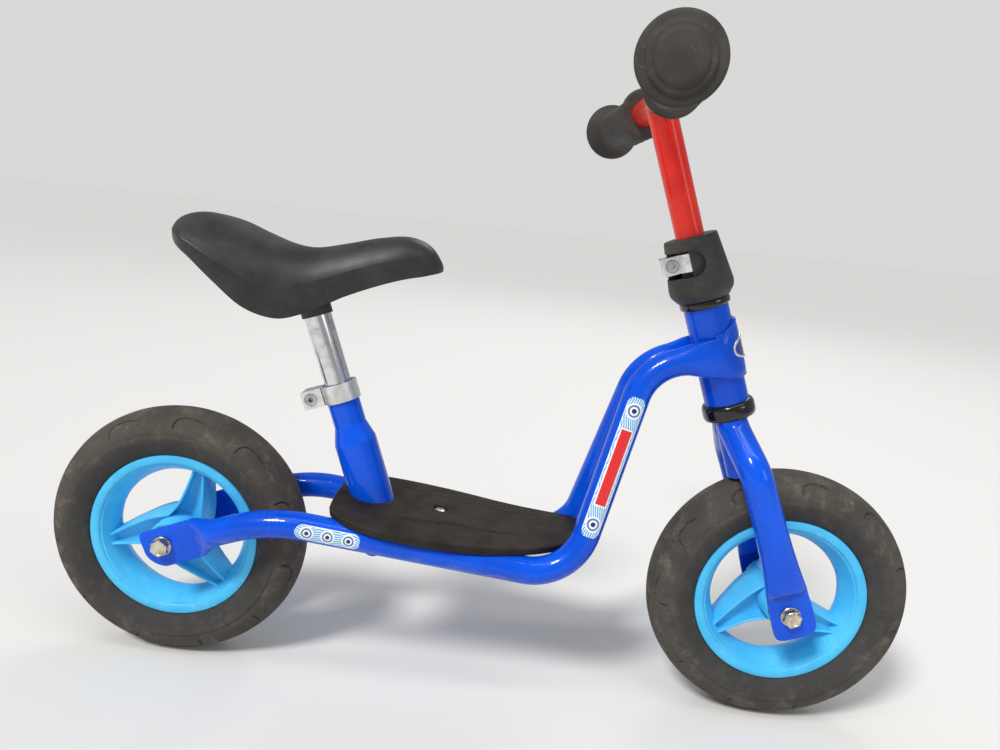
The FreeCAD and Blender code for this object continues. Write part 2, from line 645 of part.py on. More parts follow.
running = "steerer_radius + turning_gap"
finish(turned("LowerHeadsetBush", [
    (running, "head_low - lower_ring"), ("lower_ring_radius - 2", "head_low - lower_ring"),
    ("lower_ring_radius", "head_low - lower_ring + 2.5"), ("lower_ring_radius", "head_low - 2.5"),
    ("lower_ring_radius - 2", "head_low"), ("head_bore", "head_low"),
    ("head_bore", "head_low + bush_spigot"), (running, "head_low + bush_spigot")]),
    "lower_headset_bush", COLUMN)
finish(turned("UpperHeadsetBush", [
    (running, "head_high - bush_spigot"), ("head_bore", "head_high - bush_spigot"),
    ("head_bore", "head_high"), ("upper_ring_radius", "head_high"),
    ("upper_ring_radius", "head_high + upper_ring - 1.5"),
    ("upper_ring_radius - 1.5", "head_high + upper_ring"), (running, "head_high + upper_ring")]),
    "upper_headset_bush", COLUMN)


def cylinder(name, radius, height, placement):
    """A Part cylinder with its sizes bound to the sheet, from the placement's origin along its Z."""
    item = document.addObject("Part::Cylinder", name)
    bind(item, Radius=radius, Height=height)
    item.Placement = placement
    return item


def cut(name, base, tool):
    item = document.addObject("Part::Cut", name)
    item.Base, item.Tool = base, tool
    return item


def addSeatTube():
    """Tube with a cone under its clamp; its foot is coped to the bridge it is welded to."""
    shell = turned("SeatTubeShell", [
        ("post_radius + 0.1", "0"), ("seat_tube_low_radius", "0"),
        ("seat_tube_low_radius", "seat_cone_low"), ("seat_tube_radius", "seat_cone_high"),
        ("seat_tube_radius", "seat_tube_high"), ("post_radius + 0.1", "seat_tube_high")])
    cope = cylinder("SeatTubeCope", "bridge_radius + running_gap", str(BEYOND),
                    FreeCAD.Placement(LEFT * (-BEYOND / 2), SIDEWAYS))
    finish(cut("SeatTube", shell, cope), "seat_tube", SEAT)


DECK = FreeCAD.Placement(
    REAR_AXLE + FreeCAD.Vector(value("deck_level_x"), 0, value("deck_height")),
    FreeCAD.Rotation(LEFT, value("deck_slope")))


def onDeck(height):
    """The point on the footboard screw's axis at a height above the deck."""
    return DECK.multVec(FreeCAD.Vector(measure("screw_x - deck_level_x"), 0, height))


def betweenTubes(bar):
    """The middle piece that the two frame tubes leave of a bar laid across them."""
    document.recompute()
    pieces = bar.Shape.cut(leftTube).cut(mirrored(leftTube)).Solids
    return min(pieces, key=lambda solid: abs(solid.CenterOfMass.y))


def addCrossPieces():
    """The bridge under the seat tube and the strap that takes the footboard's screw."""
    bar = cylinder("SeatBridgeBar", "bridge_radius", str(BEYOND),
                   FreeCAD.Placement(SEAT.Base - LEFT * (BEYOND / 2), SIDEWAYS))
    solidFeature("SeatBridge", betweenTubes(bar), "seat_bridge")
    strap = document.addObject("Part::Box", "DeckStrapBar")
    bind(strap, Length="bracket_width", Width=str(BEYOND), Height="bracket_thick")
    strap.Placement.Base = REAR_AXLE + FreeCAD.Vector(
        value("screw_x") - value("bracket_width") / 2, -BEYOND / 2,
        value("bracket_top") - value("bracket_thick"))
    document.recompute()
    hole = Part.makeCylinder(value("screw_shank") + 0.1, BEYOND,
                             onDeck(-BEYOND), DECK.Rotation.multVec(UP))
    solidFeature("DeckBracket", betweenTubes(strap).cut(hole), "deck_bracket")


# The footboard's left edge from its rear corner to its nose: place along the deck and half width.
DECK_PLAN = [(-25.5, 37), (-24.2, 41.5), (-19, 47.5), (-10, 53.2), (2, 57.5), (16, 60.2), (36, 61.3),
             (60, 60.3), (86, 57), (110, 51.8), (130, 46), (150, 38.8), (166, 31.4), (176, 24.2), (181, 15)]
# The rear edge from there to the slot, whose mouth is narrower than the seat tube.
DECK_MOUTH = [(-25.2, 28), (-24.2, 22), (-22.2, 15.5), (-18.6, 10.8)]
SLAB_STEPS = 10


def deckOutline(inset):
    """The footboard's plan as a flat face inset all round, with the slot for the seat tube."""
    half, centre = value("deck_slot_half") + inset, value("deck_slot_centre")
    points = [FreeCAD.Vector(x, y, -BEYOND / 2) for x, y in DECK_PLAN]
    edge = Part.BSplineCurve()
    edge.interpolate(points)
    inner = [point + edge.tangent(edge.parameter(point))[0].cross(UP) * inset for point in points]
    edge.interpolate(inner)
    leftEdge = edge.toShape()
    foot, nose = inner[0], inner[-1]
    if inset:
        start = FreeCAD.Vector(centre, half, foot.z)
        mouth = [foot, FreeCAD.Vector(foot.x, half, foot.z), start]
    else:
        start = FreeCAD.Vector(centre - half * math.sqrt(0.75), half / 2, foot.z)
        mouth = [foot] + [FreeCAD.Vector(x, y, foot.z) for x, y in DECK_MOUTH] + [start]
    edges = [leftEdge, mirrored(leftEdge),
             Part.makeLine(nose, FreeCAD.Vector(nose.x, -nose.y, nose.z)),
             Part.Arc(start, FreeCAD.Vector(centre + half, 0, foot.z),
                      FreeCAD.Vector(start.x, -start.y, foot.z)).toShape()]
    for point, corner in zip(mouth, mouth[1:]):
        run = Part.makeLine(point, corner)
        edges += [run, mirrored(run)]
    return Part.Face(Part.Wire(Part.__sortEdges__(edges)))


def deckSlab(inset):
    """The crowned slab that the footboard is cut from; it curves up toward the nose."""
    width = max(half for _, half in DECK_PLAN) + OVERLAP
    drop, level, nose = value("deck_crown"), value("deck_rise_start"), DECK_PLAN[-1][0]
    start = DECK_PLAN[0][0] - OVERLAP
    sections = []
    for step in range(SLAB_STEPS + 1):
        x = start + (nose + OVERLAP - start) * step / SLAB_STEPS
        lift = value("deck_nose_lift") * (max(0, x - level) / (nose - level)) ** 2 - inset
        crest = [FreeCAD.Vector(x, y, lift - z) for y, z in ((-width, drop), (0, 0), (width, drop))]
        foot = [FreeCAD.Vector(x, y, lift - drop - value("deck_skirt")) for y in (width, -width)]
        sections.append(Part.Wire([Part.Arc(*crest).toShape()]
                                  + Part.makePolygon([crest[2], *foot, crest[0]]).Edges))
    return Part.makeLoft(sections, True)


def addDeckBlock(name, inset):
    """The footboard's solid block, made smaller all round by inset."""
    block = document.addObject("Part::Feature", name)
    block.Shape = deckOutline(inset).extrude(UP * BEYOND).common(deckSlab(inset)).Solids[0]
    return block


def addFootboard():
    """Ribless moulded board: crowned top, a skirt all round, a slot for the seat tube and a screw boss."""
    shell = cut("FootboardShell", addDeckBlock("FootboardOuter", 0),
                addDeckBlock("FootboardInner", value("deck_wall")))
    reach = measure("screw_x - deck_level_x")
    boss = cylinder("FootboardBoss", "deck_boss_radius", "deck_boss", FreeCAD.Placement(
        FreeCAD.Vector(reach, 0, -value("deck_boss") - 1), FreeCAD.Rotation()))
    joined = document.addObject("Part::Fuse", "FootboardWithBoss")
    joined.Base, joined.Tool = shell, boss
    sink = cylinder("FootboardSink", "screw_head + 1", "2 * screw_sink", FreeCAD.Placement(
        FreeCAD.Vector(reach, 0, -value("screw_sink")), FreeCAD.Rotation()))
    shank = cylinder("FootboardHole", "screw_shank + 0.3", str(BEYOND), FreeCAD.Placement(
        FreeCAD.Vector(reach, 0, -BEYOND / 2), FreeCAD.Rotation()))
    drilled = cut("FootboardDrilled", cut("FootboardSunk", joined, sink), shank)
    drilled.Placement = DECK
    document.recompute()
    groove = swept(frameTubeRoute(), value("tube_radius") + 3 * value("running_gap"))
    strapRoom = Part.makeBox(
        BEYOND / 2, BEYOND / 2, value("bracket_top"),
        REAR_AXLE + FreeCAD.Vector(value("screw_x") - BEYOND / 4, -BEYOND / 4, 0))
    tubeRoom = Part.makeCylinder(value("seat_tube_low_radius") + value("drill_gap"), BEYOND,
                                 SEAT.Base, SEAT.Rotation.multVec(UP))
    board = drilled.Shape.cut(groove).cut(mirrored(groove)).cut(strapRoom).cut(tubeRoom)
    board = max(board.Solids, key=lambda solid: solid.Volume)
    solidFeature("Footboard", board, "footboard")
    screw = turned("FootboardScrew", [
        ("0", "-screw_sink"), ("0", "-screw_length"), ("screw_shank", "-screw_length"),
        ("screw_shank", "-screw_sink"), ("screw_head", "-screw_sink"), ("screw_head", "-1.6"),
        ("screw_head - 2", "-0.8"), ("0", "-0.8")])
    finish(screw, "footboard_screw", FreeCAD.Placement(onDeck(0), DECK.Rotation))


addSeatTube()
addCrossPieces()
addFootboard()


# ---- clamps --------------------------------------------------------------------------------------

def addClamp(name, label, placement, bore, outer, low, height, back, half, boltBack):
    """Slit clamp collar with one ear behind it and a counterbored cross bolt."""
    body = newBody(name)
    collar = sketchOn(body, "XY_Plane", low)
    drawCircle(collar, "0", "0", outer)
    pad(body, collar, height)
    ear = sketchOn(body, "XY_Plane", low)
    drawOutline(ear, [(f"-{back}", f"-{half}"), (f"-{bore}", f"-{half}"), (f"-{bore}", half),
                      (f"-{back}", half)])
    pad(body, ear, height)
    roundEdges(body, "ear_corner", lambda edge: abs(edge.CenterOfMass.x + measure(back)) < 0.5
               and abs(abs(edge.CenterOfMass.z - measure(low) - measure(height) / 2)
                       - measure(height) / 2) < 0.1)
    hole = sketchOn(body, "XY_Plane", low)
    drawCircle(hole, "0", "0", bore)
    pocket(body, hole, height, backward=True)
    slit = sketchOn(body, "XY_Plane", low)
    drawOutline(slit, [(f"-{back} - 1", "-slit_half"), ("-2", "-slit_half"), ("-2", "slit_half"),
                       (f"-{back} - 1", "slit_half")])
    pocket(body, slit, height, backward=True)
    for radius, depth, start in (
            ("socket_shank + 0.1", str(BEYOND), f"-{BEYOND} / 2"),
            ("socket_head + 0.3", "socket_depth + 0.1", f"{half} - socket_depth - 0.1")):
        drill = sketchOn(body, "XZ_Plane", start)
        drawCircle(drill, f"-({boltBack})", f"{low} + {height} / 2", radius)
        pocket(body, drill, depth, backward=True)
    finish(body, label, placement)

    bolt = newBody(name + "Bolt")
    shank = sketchOn(bolt, "XZ_Plane", f"-{half}")
    drawCircle(shank, f"-({boltBack})", f"{low} + {height} / 2", "socket_shank")
    pad(bolt, shank, f"2 * {half} - socket_depth + 0.5")
    head = sketchOn(bolt, "XZ_Plane", f"{half} - socket_depth")
    drawCircle(head, f"-({boltBack})", f"{low} + {height} / 2", "socket_head")
    pad(bolt, head, "socket_depth")
    socket = sketchOn(bolt, "XZ_Plane", half)
    corners = []
    for angle in range(0, 360, 60):
        corners.append((f"-({boltBack}) + key_radius * cos({angle})",
                        f"{low} + {height} / 2 + key_radius * sin({angle})"))
    drawOutline(socket, corners)
    pocket(bolt, socket, "3")
    finish(bolt, label + "_bolt", placement)


addClamp("SeatClamp", "seat_clamp", SEAT, "seat_tube_radius + running_gap", "seat_clamp_radius",
         "seat_clamp_low", "seat_clamp_height", "seat_ear_back", "seat_ear_half", "seat_bolt_back")
addClamp("StemClamp", "stem_clamp", COLUMN, "steerer_radius + running_gap", "clamp_radius", "clamp_low",
         "clamp_height", "ear_back", "ear_half", "ear_bolt_back")


def addClampCover():
    """Moulded hood over the stem clamp, with a slot behind for its ear and a recess beside it."""
    body = turned("ClampCover", [
        ("cover_bore", "cover_low"), ("cover_low_radius", "cover_low"),
        ("cover_belly_radius - 0.8", "cover_belly - 5", "14"),
        ("cover_belly_radius", "cover_belly + 3"),
        ("cover_top_radius + 1.2", "cover_high - 1.8", "1.8"), ("cover_top_radius - 0.6", "cover_high"),
        ("stem_radius + 0.35", "cover_high"), ("stem_radius + 0.35", "cover_roof"),
        ("cover_bore", "cover_roof")])
    slot = sketchOn(body, "YZ_Plane", "-cover_slot_front")
    drawOutline(slot, [("-30", "cover_slot_low"), ("ear_half + 1.5", "cover_slot_low"),
                       ("ear_half + 1.5", "cover_slot_high"), ("-30", "cover_slot_high")])
    pocket(body, slot, "40")
    recess = sketchOn(body, "XZ_Plane", "cover_recess_floor")
    reach = "(cover_slot_high - cover_slot_low) / 2"
    drawOutline(recess, [
        ("-40", "cover_slot_low"), (f"cover_recess_front - {reach}", "cover_slot_low", reach),
        (f"cover_recess_front - {reach}", "cover_slot_high"), ("-40", "cover_slot_high")])
    pocket(body, recess, "20", backward=True)
    finish(body, "clamp_cover", COLUMN)


addClampCover()


# ---- seat ----------------------------------------------------------------------------------------

finish(ring("SeatPost", "post_radius", "post_bore", "post_low", "post_high"), "seat_post", SEAT)


# Saddle stations from tail to nose, measured from the rear axle: place along X, half width, then the
# heights of the ridge, of the rounded shoulder and of the lower hem.
SADDLE_STATIONS = [
    (-4, 20, 259, 255, 249), (5, 38, 265, 257, 247), (20, 51, 268, 252, 238), (42, 56, 265, 243, 220),
    (64, 52, 257, 233, 203), (86, 43, 250.5, 227, 196), (104, 36, 249, 230, 200),
    (128, 30, 254.5, 237, 212.5), (154, 26, 261.5, 246, 224), (178, 22, 264, 252, 232),
    (196, 15, 255, 248, 237), (204, 6, 244, 242.5, 239.5)]
SKIRT = 10


def aboveRear(x, y, z):
    return REAR_AXLE + FreeCAD.Vector(x, y, z)


def saddleSection(x, half, ridge, shoulder, hem):
    """One closed cross-section: a crowned top down to both hems, side skirts and an inner face."""
    inner = hem + min(SKIRT, 0.4 * (ridge - hem))
    side = [(0.5 * half, ridge - 0.22 * (ridge - shoulder)), (0.86 * half, shoulder),
            (half, 0.45 * shoulder + 0.55 * hem), (0.94 * half, hem)]
    over = [aboveRear(x, y, z) for y, z in reversed(side)] + [aboveRear(x, 0, ridge)]
    over += [aboveRear(x, -y, z) for y, z in side]
    crown = Part.BSplineCurve()
    crown.interpolate(over)
    under = [over[-1], aboveRear(x, -0.72 * half, inner), aboveRear(x, 0.72 * half, inner), over[0]]
    return Part.Wire([crown.toShape()] + Part.makePolygon(under).Edges)


def stripUnderPad(low, high):
    """A strip along the pad's inner face, between two heights above the hem line."""
    sections = []
    for x, half, _, _, hem in SADDLE_STATIONS[2:-2]:
        width = 0.5 * half
        corners = [aboveRear(x, width, hem + high), aboveRear(x, -width, hem + high),
                   aboveRear(x, -width, hem + low), aboveRear(x, width, hem + low)]
        sections.append(Part.makePolygon(corners + corners[:1]))
    return Part.makeLoft(sections, True)


def addSaddle():
    """The soft pad, the hard base inside its skirts, and the cup that joins the base to the post."""
    baseTop = SKIRT - 1.2
    baseFloor = baseTop - value("base_thick")
    solidFeature("SaddleBase", stripUnderPad(baseFloor, baseTop), "saddle_base")
    soft = Part.makeLoft([saddleSection(*station) for station in SADDLE_STATIONS], True)
    solidFeature("Saddle", soft, "saddle")

    low, high = value("post_high") - value("bracket_grip"), value("post_high") + 16
    cup = Part.makeCylinder(value("bracket_radius"), high - low, UP * low)
    socket = value("post_high") - low + 0.1
    cup = cup.cut(Part.makeCylinder(value("post_radius") + value("running_gap"), socket, UP * low))
    cup.Placement = SEAT
    solidFeature("SaddleBracket", cup.cut(stripUnderPad(baseFloor, BEYOND)), "saddle_bracket")


addSaddle()


# ---- fork ----------------------------------------------------------------------------------------

finish(ring("ForkSteerer", "steerer_radius", "steerer_bore", "steerer_low", "steerer_high"),
       "fork_steerer", COLUMN)


def leftForkBlade():
    """Tube welded to the steerer's side, bent outward and flattened to a drilled plate."""
    topX, lowX, footX = value("blade_top_x"), value("blade_low_x"), value("blade_foot_x")
    points = [FreeCAD.Vector(topX, value("blade_top_y"), value("blade_top")),
              FreeCAD.Vector(topX, value("blade_top_y"), value("blade_high")),
              FreeCAD.Vector(lowX, value("blade_y"), value("blade_low")),
              FreeCAD.Vector(lowX + 0.8, value("blade_y"), value("blade_straight"))]
    path = route(points, [value("blade_bend")] * 2)
    radius = value("blade_radius")
    tube = swept(path, radius)
    bore = swept(path, radius - value("blade_wall"))
    foot = FreeCAD.Vector(footX, value("front_plate_middle"), value("blade_foot"))
    knee = points[-1] + UP * OVERLAP
    sections, hollows = [], []
    wall = value("blade_wall")
    for share in (0, 0.35, 0.7, 1):
        centre = knee + (foot - knee) * share
        wide = radius + (value("blade_foot_half") - radius) * share ** 1.5
        thin = radius + (value("blade_foot_thin") - radius) * share ** 1.5
        sections.append(oval(centre, FORWARD, LEFT, wide + WELD_LIP, thin + WELD_LIP))
        hollows.append(oval(centre + UP * 1.5, FORWARD, LEFT, wide - wall - 0.3, thin - wall - 0.3))
    taper = Part.makeLoft(sections, True).cut(Part.makeLoft(hollows, True))
    plateHalf = value("blade_foot_half")
    crush = Part.makeLoft([
        sections[-1], oval(foot - UP * 4, FORWARD, LEFT, plateHalf - 0.4, value("plate_thick") / 2)], True)
    offset = value("fork_offset")
    outline = plateOutline(
        [(footX - plateHalf - 0.5, value("blade_foot") - 1, 0.5), (footX - plateHalf - 1.5, -16, 5),
         (offset + 3, -20.5, 10), (offset + 14, -18, 8), (offset + 18.8, -4, 8),
         (footX + plateHalf, value("blade_foot") - 1, 0.5)],
        value("front_plate_middle"), value("plate_thick"), FreeCAD.Placement())
    blade = tube.multiFuse([taper, crush, outline]).cut(bore)
    steerer = Part.makeCylinder(value("steerer_radius") + value("running_gap"), 2 * BEYOND, UP * BEYOND)
    ringFace = value("head_low") - value("lower_ring") - value("drill_gap")
    above = Part.makeBox(BEYOND, BEYOND, BEYOND, FreeCAD.Vector(-BEYOND / 2, -BEYOND / 2, ringFace))
    hole = Part.makeCylinder(value("bolt_radius") + value("drill_gap"), BEYOND,
                             FreeCAD.Vector(offset, 10, 0), LEFT)
    farHalf = Part.makeBox(BEYOND, BEYOND, 4 * BEYOND, FreeCAD.Vector(-BEYOND / 2, -BEYOND, -BEYOND))
    blade = blade.cut(steerer).cut(above).cut(hole).cut(farHalf)
    return max(blade.Solids, key=lambda solid: solid.Volume)


leftBlade = leftForkBlade()
solidFeature("LeftForkBlade", leftBlade, "left_fork_blade", COLUMN)
solidFeature("RightForkBlade", mirrored(leftBlade), "right_fork_blade", COLUMN)


# ---- handlebar -----------------------------------------------------------------------------------

def handlebarRoute():
    """The bar's middle line: a straight middle with both arms swept back."""
    along, bend = value("bar_along"), value("bar_bend_y")
    end = FreeCAD.Vector(-value("bar_end_back"), value("bar_end_y"), along + value("bar_end_rise"))
    points = [end, FreeCAD.Vector(0, bend, along), FreeCAD.Vector(0, -bend, along),
              FreeCAD.Vector(end.x, -end.y, end.z)]
    return points


def addHandlebar():
    points = handlebarRoute()
    path = route(points, [value("bar_bend_radius")] * 2)
    radius = value("bar_radius")
    bar = swept(path, radius).cut(swept(path, radius - value("bar_wall")))
    solidFeature("Handlebar", bar, "handlebar", COLUMN)

    shell = ring("StemShell", "stem_radius", "stem_radius - bar_wall", "stem_low", "bar_along")
    cope = cylinder("StemCope", "bar_radius + running_gap", str(BEYOND),
                    FreeCAD.Placement(FreeCAD.Vector(0, -BEYOND / 2, value("bar_along")), SIDEWAYS))
    finish(cut("Stem", shell, cope), "stem", COLUMN)

    inset = value("grip_start")
    for side, hand in (("left", 1), ("right", -1)):
        grip = turned(side.title() + "Grip", [
            ("bar_radius + running_gap", "0"), ("grip_lip", "0"), ("grip_lip", "3.5"), ("grip_radius", "6"),
            ("grip_radius", "12"), ("grip_swell", "22", "180"), ("grip_swell", "84"),
            ("grip_radius + 0.5", "94"), ("grip_radius + 1", "grip_length - 9"),
            ("grip_disc - 2", "grip_length - 6"), ("grip_disc", "grip_length - 4"),
            ("grip_disc", "grip_length - 1"), ("grip_disc - 1.5", "grip_length"),
            ("grip_step", "grip_length"), ("grip_step", "grip_length + grip_tier"),
            ("grip_dome", "grip_length + grip_tier"), ("grip_dome - 1", "grip_length + 2 * grip_tier - 1"),
            ("0", "grip_length + 2 * grip_tier"), ("0", "grip_length - 4"),
            ("bar_radius + running_gap", "grip_length - 4")])
        start = points[1] if hand > 0 else points[2]
        end = points[0] if hand > 0 else points[3]
        outward = (end - start).normalize()
        seat = FreeCAD.Placement(start + outward * inset, FreeCAD.Rotation(UP, outward))
        finish(grip, side + "_grip", COLUMN.multiply(seat))


addHandlebar()


# ---- export --------------------------------------------------------------------------------------

document.recompute()
for item in document.Objects:
    if "Invalid" in item.State or "Error" in item.State:
        raise RuntimeError(f"{item.Label}: {item.State}")
for item in subparts:
    if item.Shape.isNull() or not item.Shape.isValid():
        raise RuntimeError(f"{item.Label}: the shape is empty or not valid")

os.makedirs("parts", exist_ok=True)
for item in subparts:
    item.Shape.exportStep(f"parts/{item.Label}.step")
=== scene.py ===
import json
import math

import bmesh
import bpy
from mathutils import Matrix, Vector, noise


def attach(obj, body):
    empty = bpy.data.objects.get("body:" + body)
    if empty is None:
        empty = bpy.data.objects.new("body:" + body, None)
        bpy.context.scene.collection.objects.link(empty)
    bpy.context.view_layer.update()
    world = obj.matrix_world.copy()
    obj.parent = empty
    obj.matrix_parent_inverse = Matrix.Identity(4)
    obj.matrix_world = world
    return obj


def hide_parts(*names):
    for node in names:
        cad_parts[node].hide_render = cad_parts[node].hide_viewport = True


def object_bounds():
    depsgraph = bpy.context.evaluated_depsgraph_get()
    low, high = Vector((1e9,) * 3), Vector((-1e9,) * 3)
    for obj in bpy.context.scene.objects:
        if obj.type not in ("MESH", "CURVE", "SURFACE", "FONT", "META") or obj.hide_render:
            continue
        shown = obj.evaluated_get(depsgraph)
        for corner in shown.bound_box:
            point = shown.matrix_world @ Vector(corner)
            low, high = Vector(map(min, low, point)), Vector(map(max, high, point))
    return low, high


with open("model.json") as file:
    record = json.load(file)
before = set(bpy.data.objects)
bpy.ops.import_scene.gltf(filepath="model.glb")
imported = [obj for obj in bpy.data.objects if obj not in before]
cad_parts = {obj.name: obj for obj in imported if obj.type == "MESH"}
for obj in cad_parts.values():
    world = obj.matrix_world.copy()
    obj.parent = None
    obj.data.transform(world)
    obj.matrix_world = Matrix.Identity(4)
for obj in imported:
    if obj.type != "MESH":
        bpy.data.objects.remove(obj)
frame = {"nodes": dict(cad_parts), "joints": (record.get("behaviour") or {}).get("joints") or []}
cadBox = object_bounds()
joints = {joint["name"]: joint for joint in frame["joints"]}
mm = 0.001
ahead = Vector((1, 0, 0))
left = Vector((0, 1, 0))
up = Vector((0, 0, 1))


# Places on the bike. Each set of axes has a forward, a left and an along direction, in millimetres.

class Axes:
    def __init__(self, origin, along):
        self.origin = Vector(origin)
        self.along = Vector(along).normalized()
        self.forward = left.cross(self.along)

    def heading(self, forward, aside, along):
        return self.forward * forward + left * aside + self.along * along

    def at(self, forward, aside, along):
        return self.origin + self.heading(forward, aside, along) * mm


rearAxle = Vector(joints["rear_wheel_spin"]["pos_m"])
frontAxle = Vector(joints["front_wheel_spin"]["pos_m"])
steering = Vector(joints["steering"]["pos_m"])
steeringAxis = Vector(joints["steering"]["axis"]).normalized()
column = Axes(steering - steeringAxis * (steering - frontAxle).dot(steeringAxis), steeringAxis)
rear = Axes(rearAxle, up)


# Meshes. A Shell gathers rows of points into faces and ends as one piece of the bike.

def ease(share):
    share = min(1, max(0, share))
    return share * share * (3 - 2 * share)


def mix(first, second, share):
    return first + (second - first) * share


def circle(count):
    return [2 * math.pi * step / count for step in range(count)]


def toward(first, second, turn):
    # the direction reached by turning from the first one towards the second
    return first * math.cos(turn) + second * math.sin(turn)


def squared(direction, axis):
    # the part of a direction that stands square to an axis
    return (direction - axis * direction.dot(axis)).normalized()


def between(spots, place):
    # smooth curve through rows of numbers whose first number is the place
    last = len(spots) - 1
    index = next((i for i in range(last) if place <= spots[i + 1][0]), last - 1)
    before, start, stop, after = (spots[max(0, min(last, i))] for i in range(index - 1, index + 3))
    span = stop[0] - start[0]
    share = min(1, max(0, (place - start[0]) / span))
    values = []
    for k in range(1, len(start)):
        leave = (stop[k] - before[k]) / (stop[0] - before[0]) * span
        arrive = (after[k] - start[k]) / (after[0] - start[0]) * span
        a, b = 2 * start[k] - 2 * stop[k] + leave + arrive, 3 * (stop[k] - start[k]) - 2 * leave - arrive
        values.append(((a * share + b) * share + leave) * share + start[k])
    return values


def curve(points, pieces):
    # a smooth line through every point, with some pieces on each span
    spots, last = [], len(points) - 1
    for index in range(last):
        near = [points[min(last, max(0, index + k))] for k in (-1, 0, 1, 2)]
        for step in range(pieces):
            t = step / pieces
            spots.append(tuple(
                0.5 * (2 * b + (c - a) * t + (2 * a - 5 * b + 4 * c - d) * t * t
                       + (3 * b - a - 3 * c + d) * t ** 3) for a, b, c, d in zip(*near)))
    return spots + [tuple(points[-1])]


def oval(centre, wideAxis, tallAxis, wide, tall, square=2.0, count=48):
    # a superellipse of half sizes wide and tall: 2 is an ellipse, more is nearer a rectangle
    points = []
    for step in range(count):
        turn = 2 * math.pi * (step + 0.5) / count
        across, rise = math.cos(turn), math.sin(turn)
        across = math.copysign(abs(across) ** (2 / square), across) * wide
        rise = math.copysign(abs(rise) ** (2 / square), rise) * tall
        points.append(centre + (wideAxis * across + tallAxis * rise) * mm)
    return points


def roundSection(spot, heading, radius):
    wideAxis = squared(left, heading)
    return oval(spot, wideAxis, heading.cross(wideAxis), radius, radius)


def ring(middle, alongAxis, radius, height, count):
    # a circle about alongAxis, at a height over middle
    side = ahead if abs(alongAxis.y) > 0.9 else left
    other = alongAxis.cross(side).normalized()
    side = other.cross(alongAxis)
    centre = middle + alongAxis * height * mm
    return [centre + toward(side, other, turn) * radius * mm for turn in circle(count)]


class Shell:
    def __init__(self):
        self.points, self.faces, self.slots = [], [], []

    def net(self, rows, closedRows=False, closedColumns=True, caps=False, slot=0):
        first, wide, tall = len(self.points), len(rows[0]), len(rows)
        for row in rows:
            self.points += row
        for row in range(tall if closedRows else tall - 1):
            for step in range(wide if closedColumns else wide - 1):
                here, above = first + row * wide, first + (row + 1) % tall * wide
                following = (step + 1) % wide
                self.faces.append((here + step, here + following, above + following, above + step))
                self.slots.append(slot)
        if caps:
            self.faces.append(tuple(range(first + wide - 1, first - 1, -1)))
            self.faces.append(tuple(range(first + (tall - 1) * wide, first + tall * wide)))
            self.slots += [slot, slot]
        return self

    def turned(self, middle, axis, profile, count=96, closed=True, slot=0):
        rows = [ring(middle, axis, radius, height, count) for radius, height in profile]
        return self.net(rows, closedRows=closed, slot=slot)

    def piece(self, name, body, finishes, stands=(), crease=32, join=0.00001):
        mesh = bpy.data.meshes.new(name)
        mesh.from_pydata(self.points, [], self.faces)
        for polygon, slot in zip(mesh.polygons, self.slots):
            polygon.material_index = slot
        shape = bmesh.new()
        shape.from_mesh(mesh)
        bmesh.ops.remove_doubles(shape, verts=shape.verts, dist=join)
        bmesh.ops.recalc_face_normals(shape, faces=shape.faces)
        shape.to_mesh(mesh)
        shape.free()
        for polygon in mesh.polygons:
            polygon.use_smooth = True
        mesh.set_sharp_from_angle(angle=math.radians(crease))
        for finish in finishes if isinstance(finishes, list) else [finishes]:
            mesh.materials.append(finish.material)
        made = bpy.data.objects.new(name, mesh)
        bpy.context.scene.collection.objects.link(made)
        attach(made, body)
        if stands:
            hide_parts(*stands)
        return made


def route(points, radii, spacing=3.0):
    # middle line of a bent tube: (spot, heading) pairs along straight runs and arcs
    line = []

    def run(start, stop):
        heading = (stop - start).normalized()
        steps = max(1, round((stop - start).length / (spacing * mm)))
        line.extend((start.lerp(stop, k / steps), heading) for k in range(steps))

    here = points[0]
    for index, radius in enumerate(radii, start=1):
        corner = points[index]
        inward = (corner - points[index - 1]).normalized()
        outward = (points[index + 1] - corner).normalized()
        turn = inward.angle(outward)
        reach = radius * mm * math.tan(turn / 2)
        start = corner - inward * reach
        side = squared(outward, inward)
        run(here, start)
        steps = max(3, round(turn * radius / spacing))
        for k in range(steps):
            angle = turn * k / steps
            spot = start + (inward * math.sin(angle) + side * (1 - math.cos(angle))) * radius * mm
            line.append((spot, toward(inward, side, angle)))
        here = corner + outward * reach
    run(here, points[-1])
    line.append((points[-1], (points[-1] - here).normalized()))
    return line


def mirrored(rows):
    return [[Vector((p.x, -p.y, p.z)) for p in row] for row in rows]


# Finishes. A Field wraps one shader socket, so that patterns read as arithmetic.

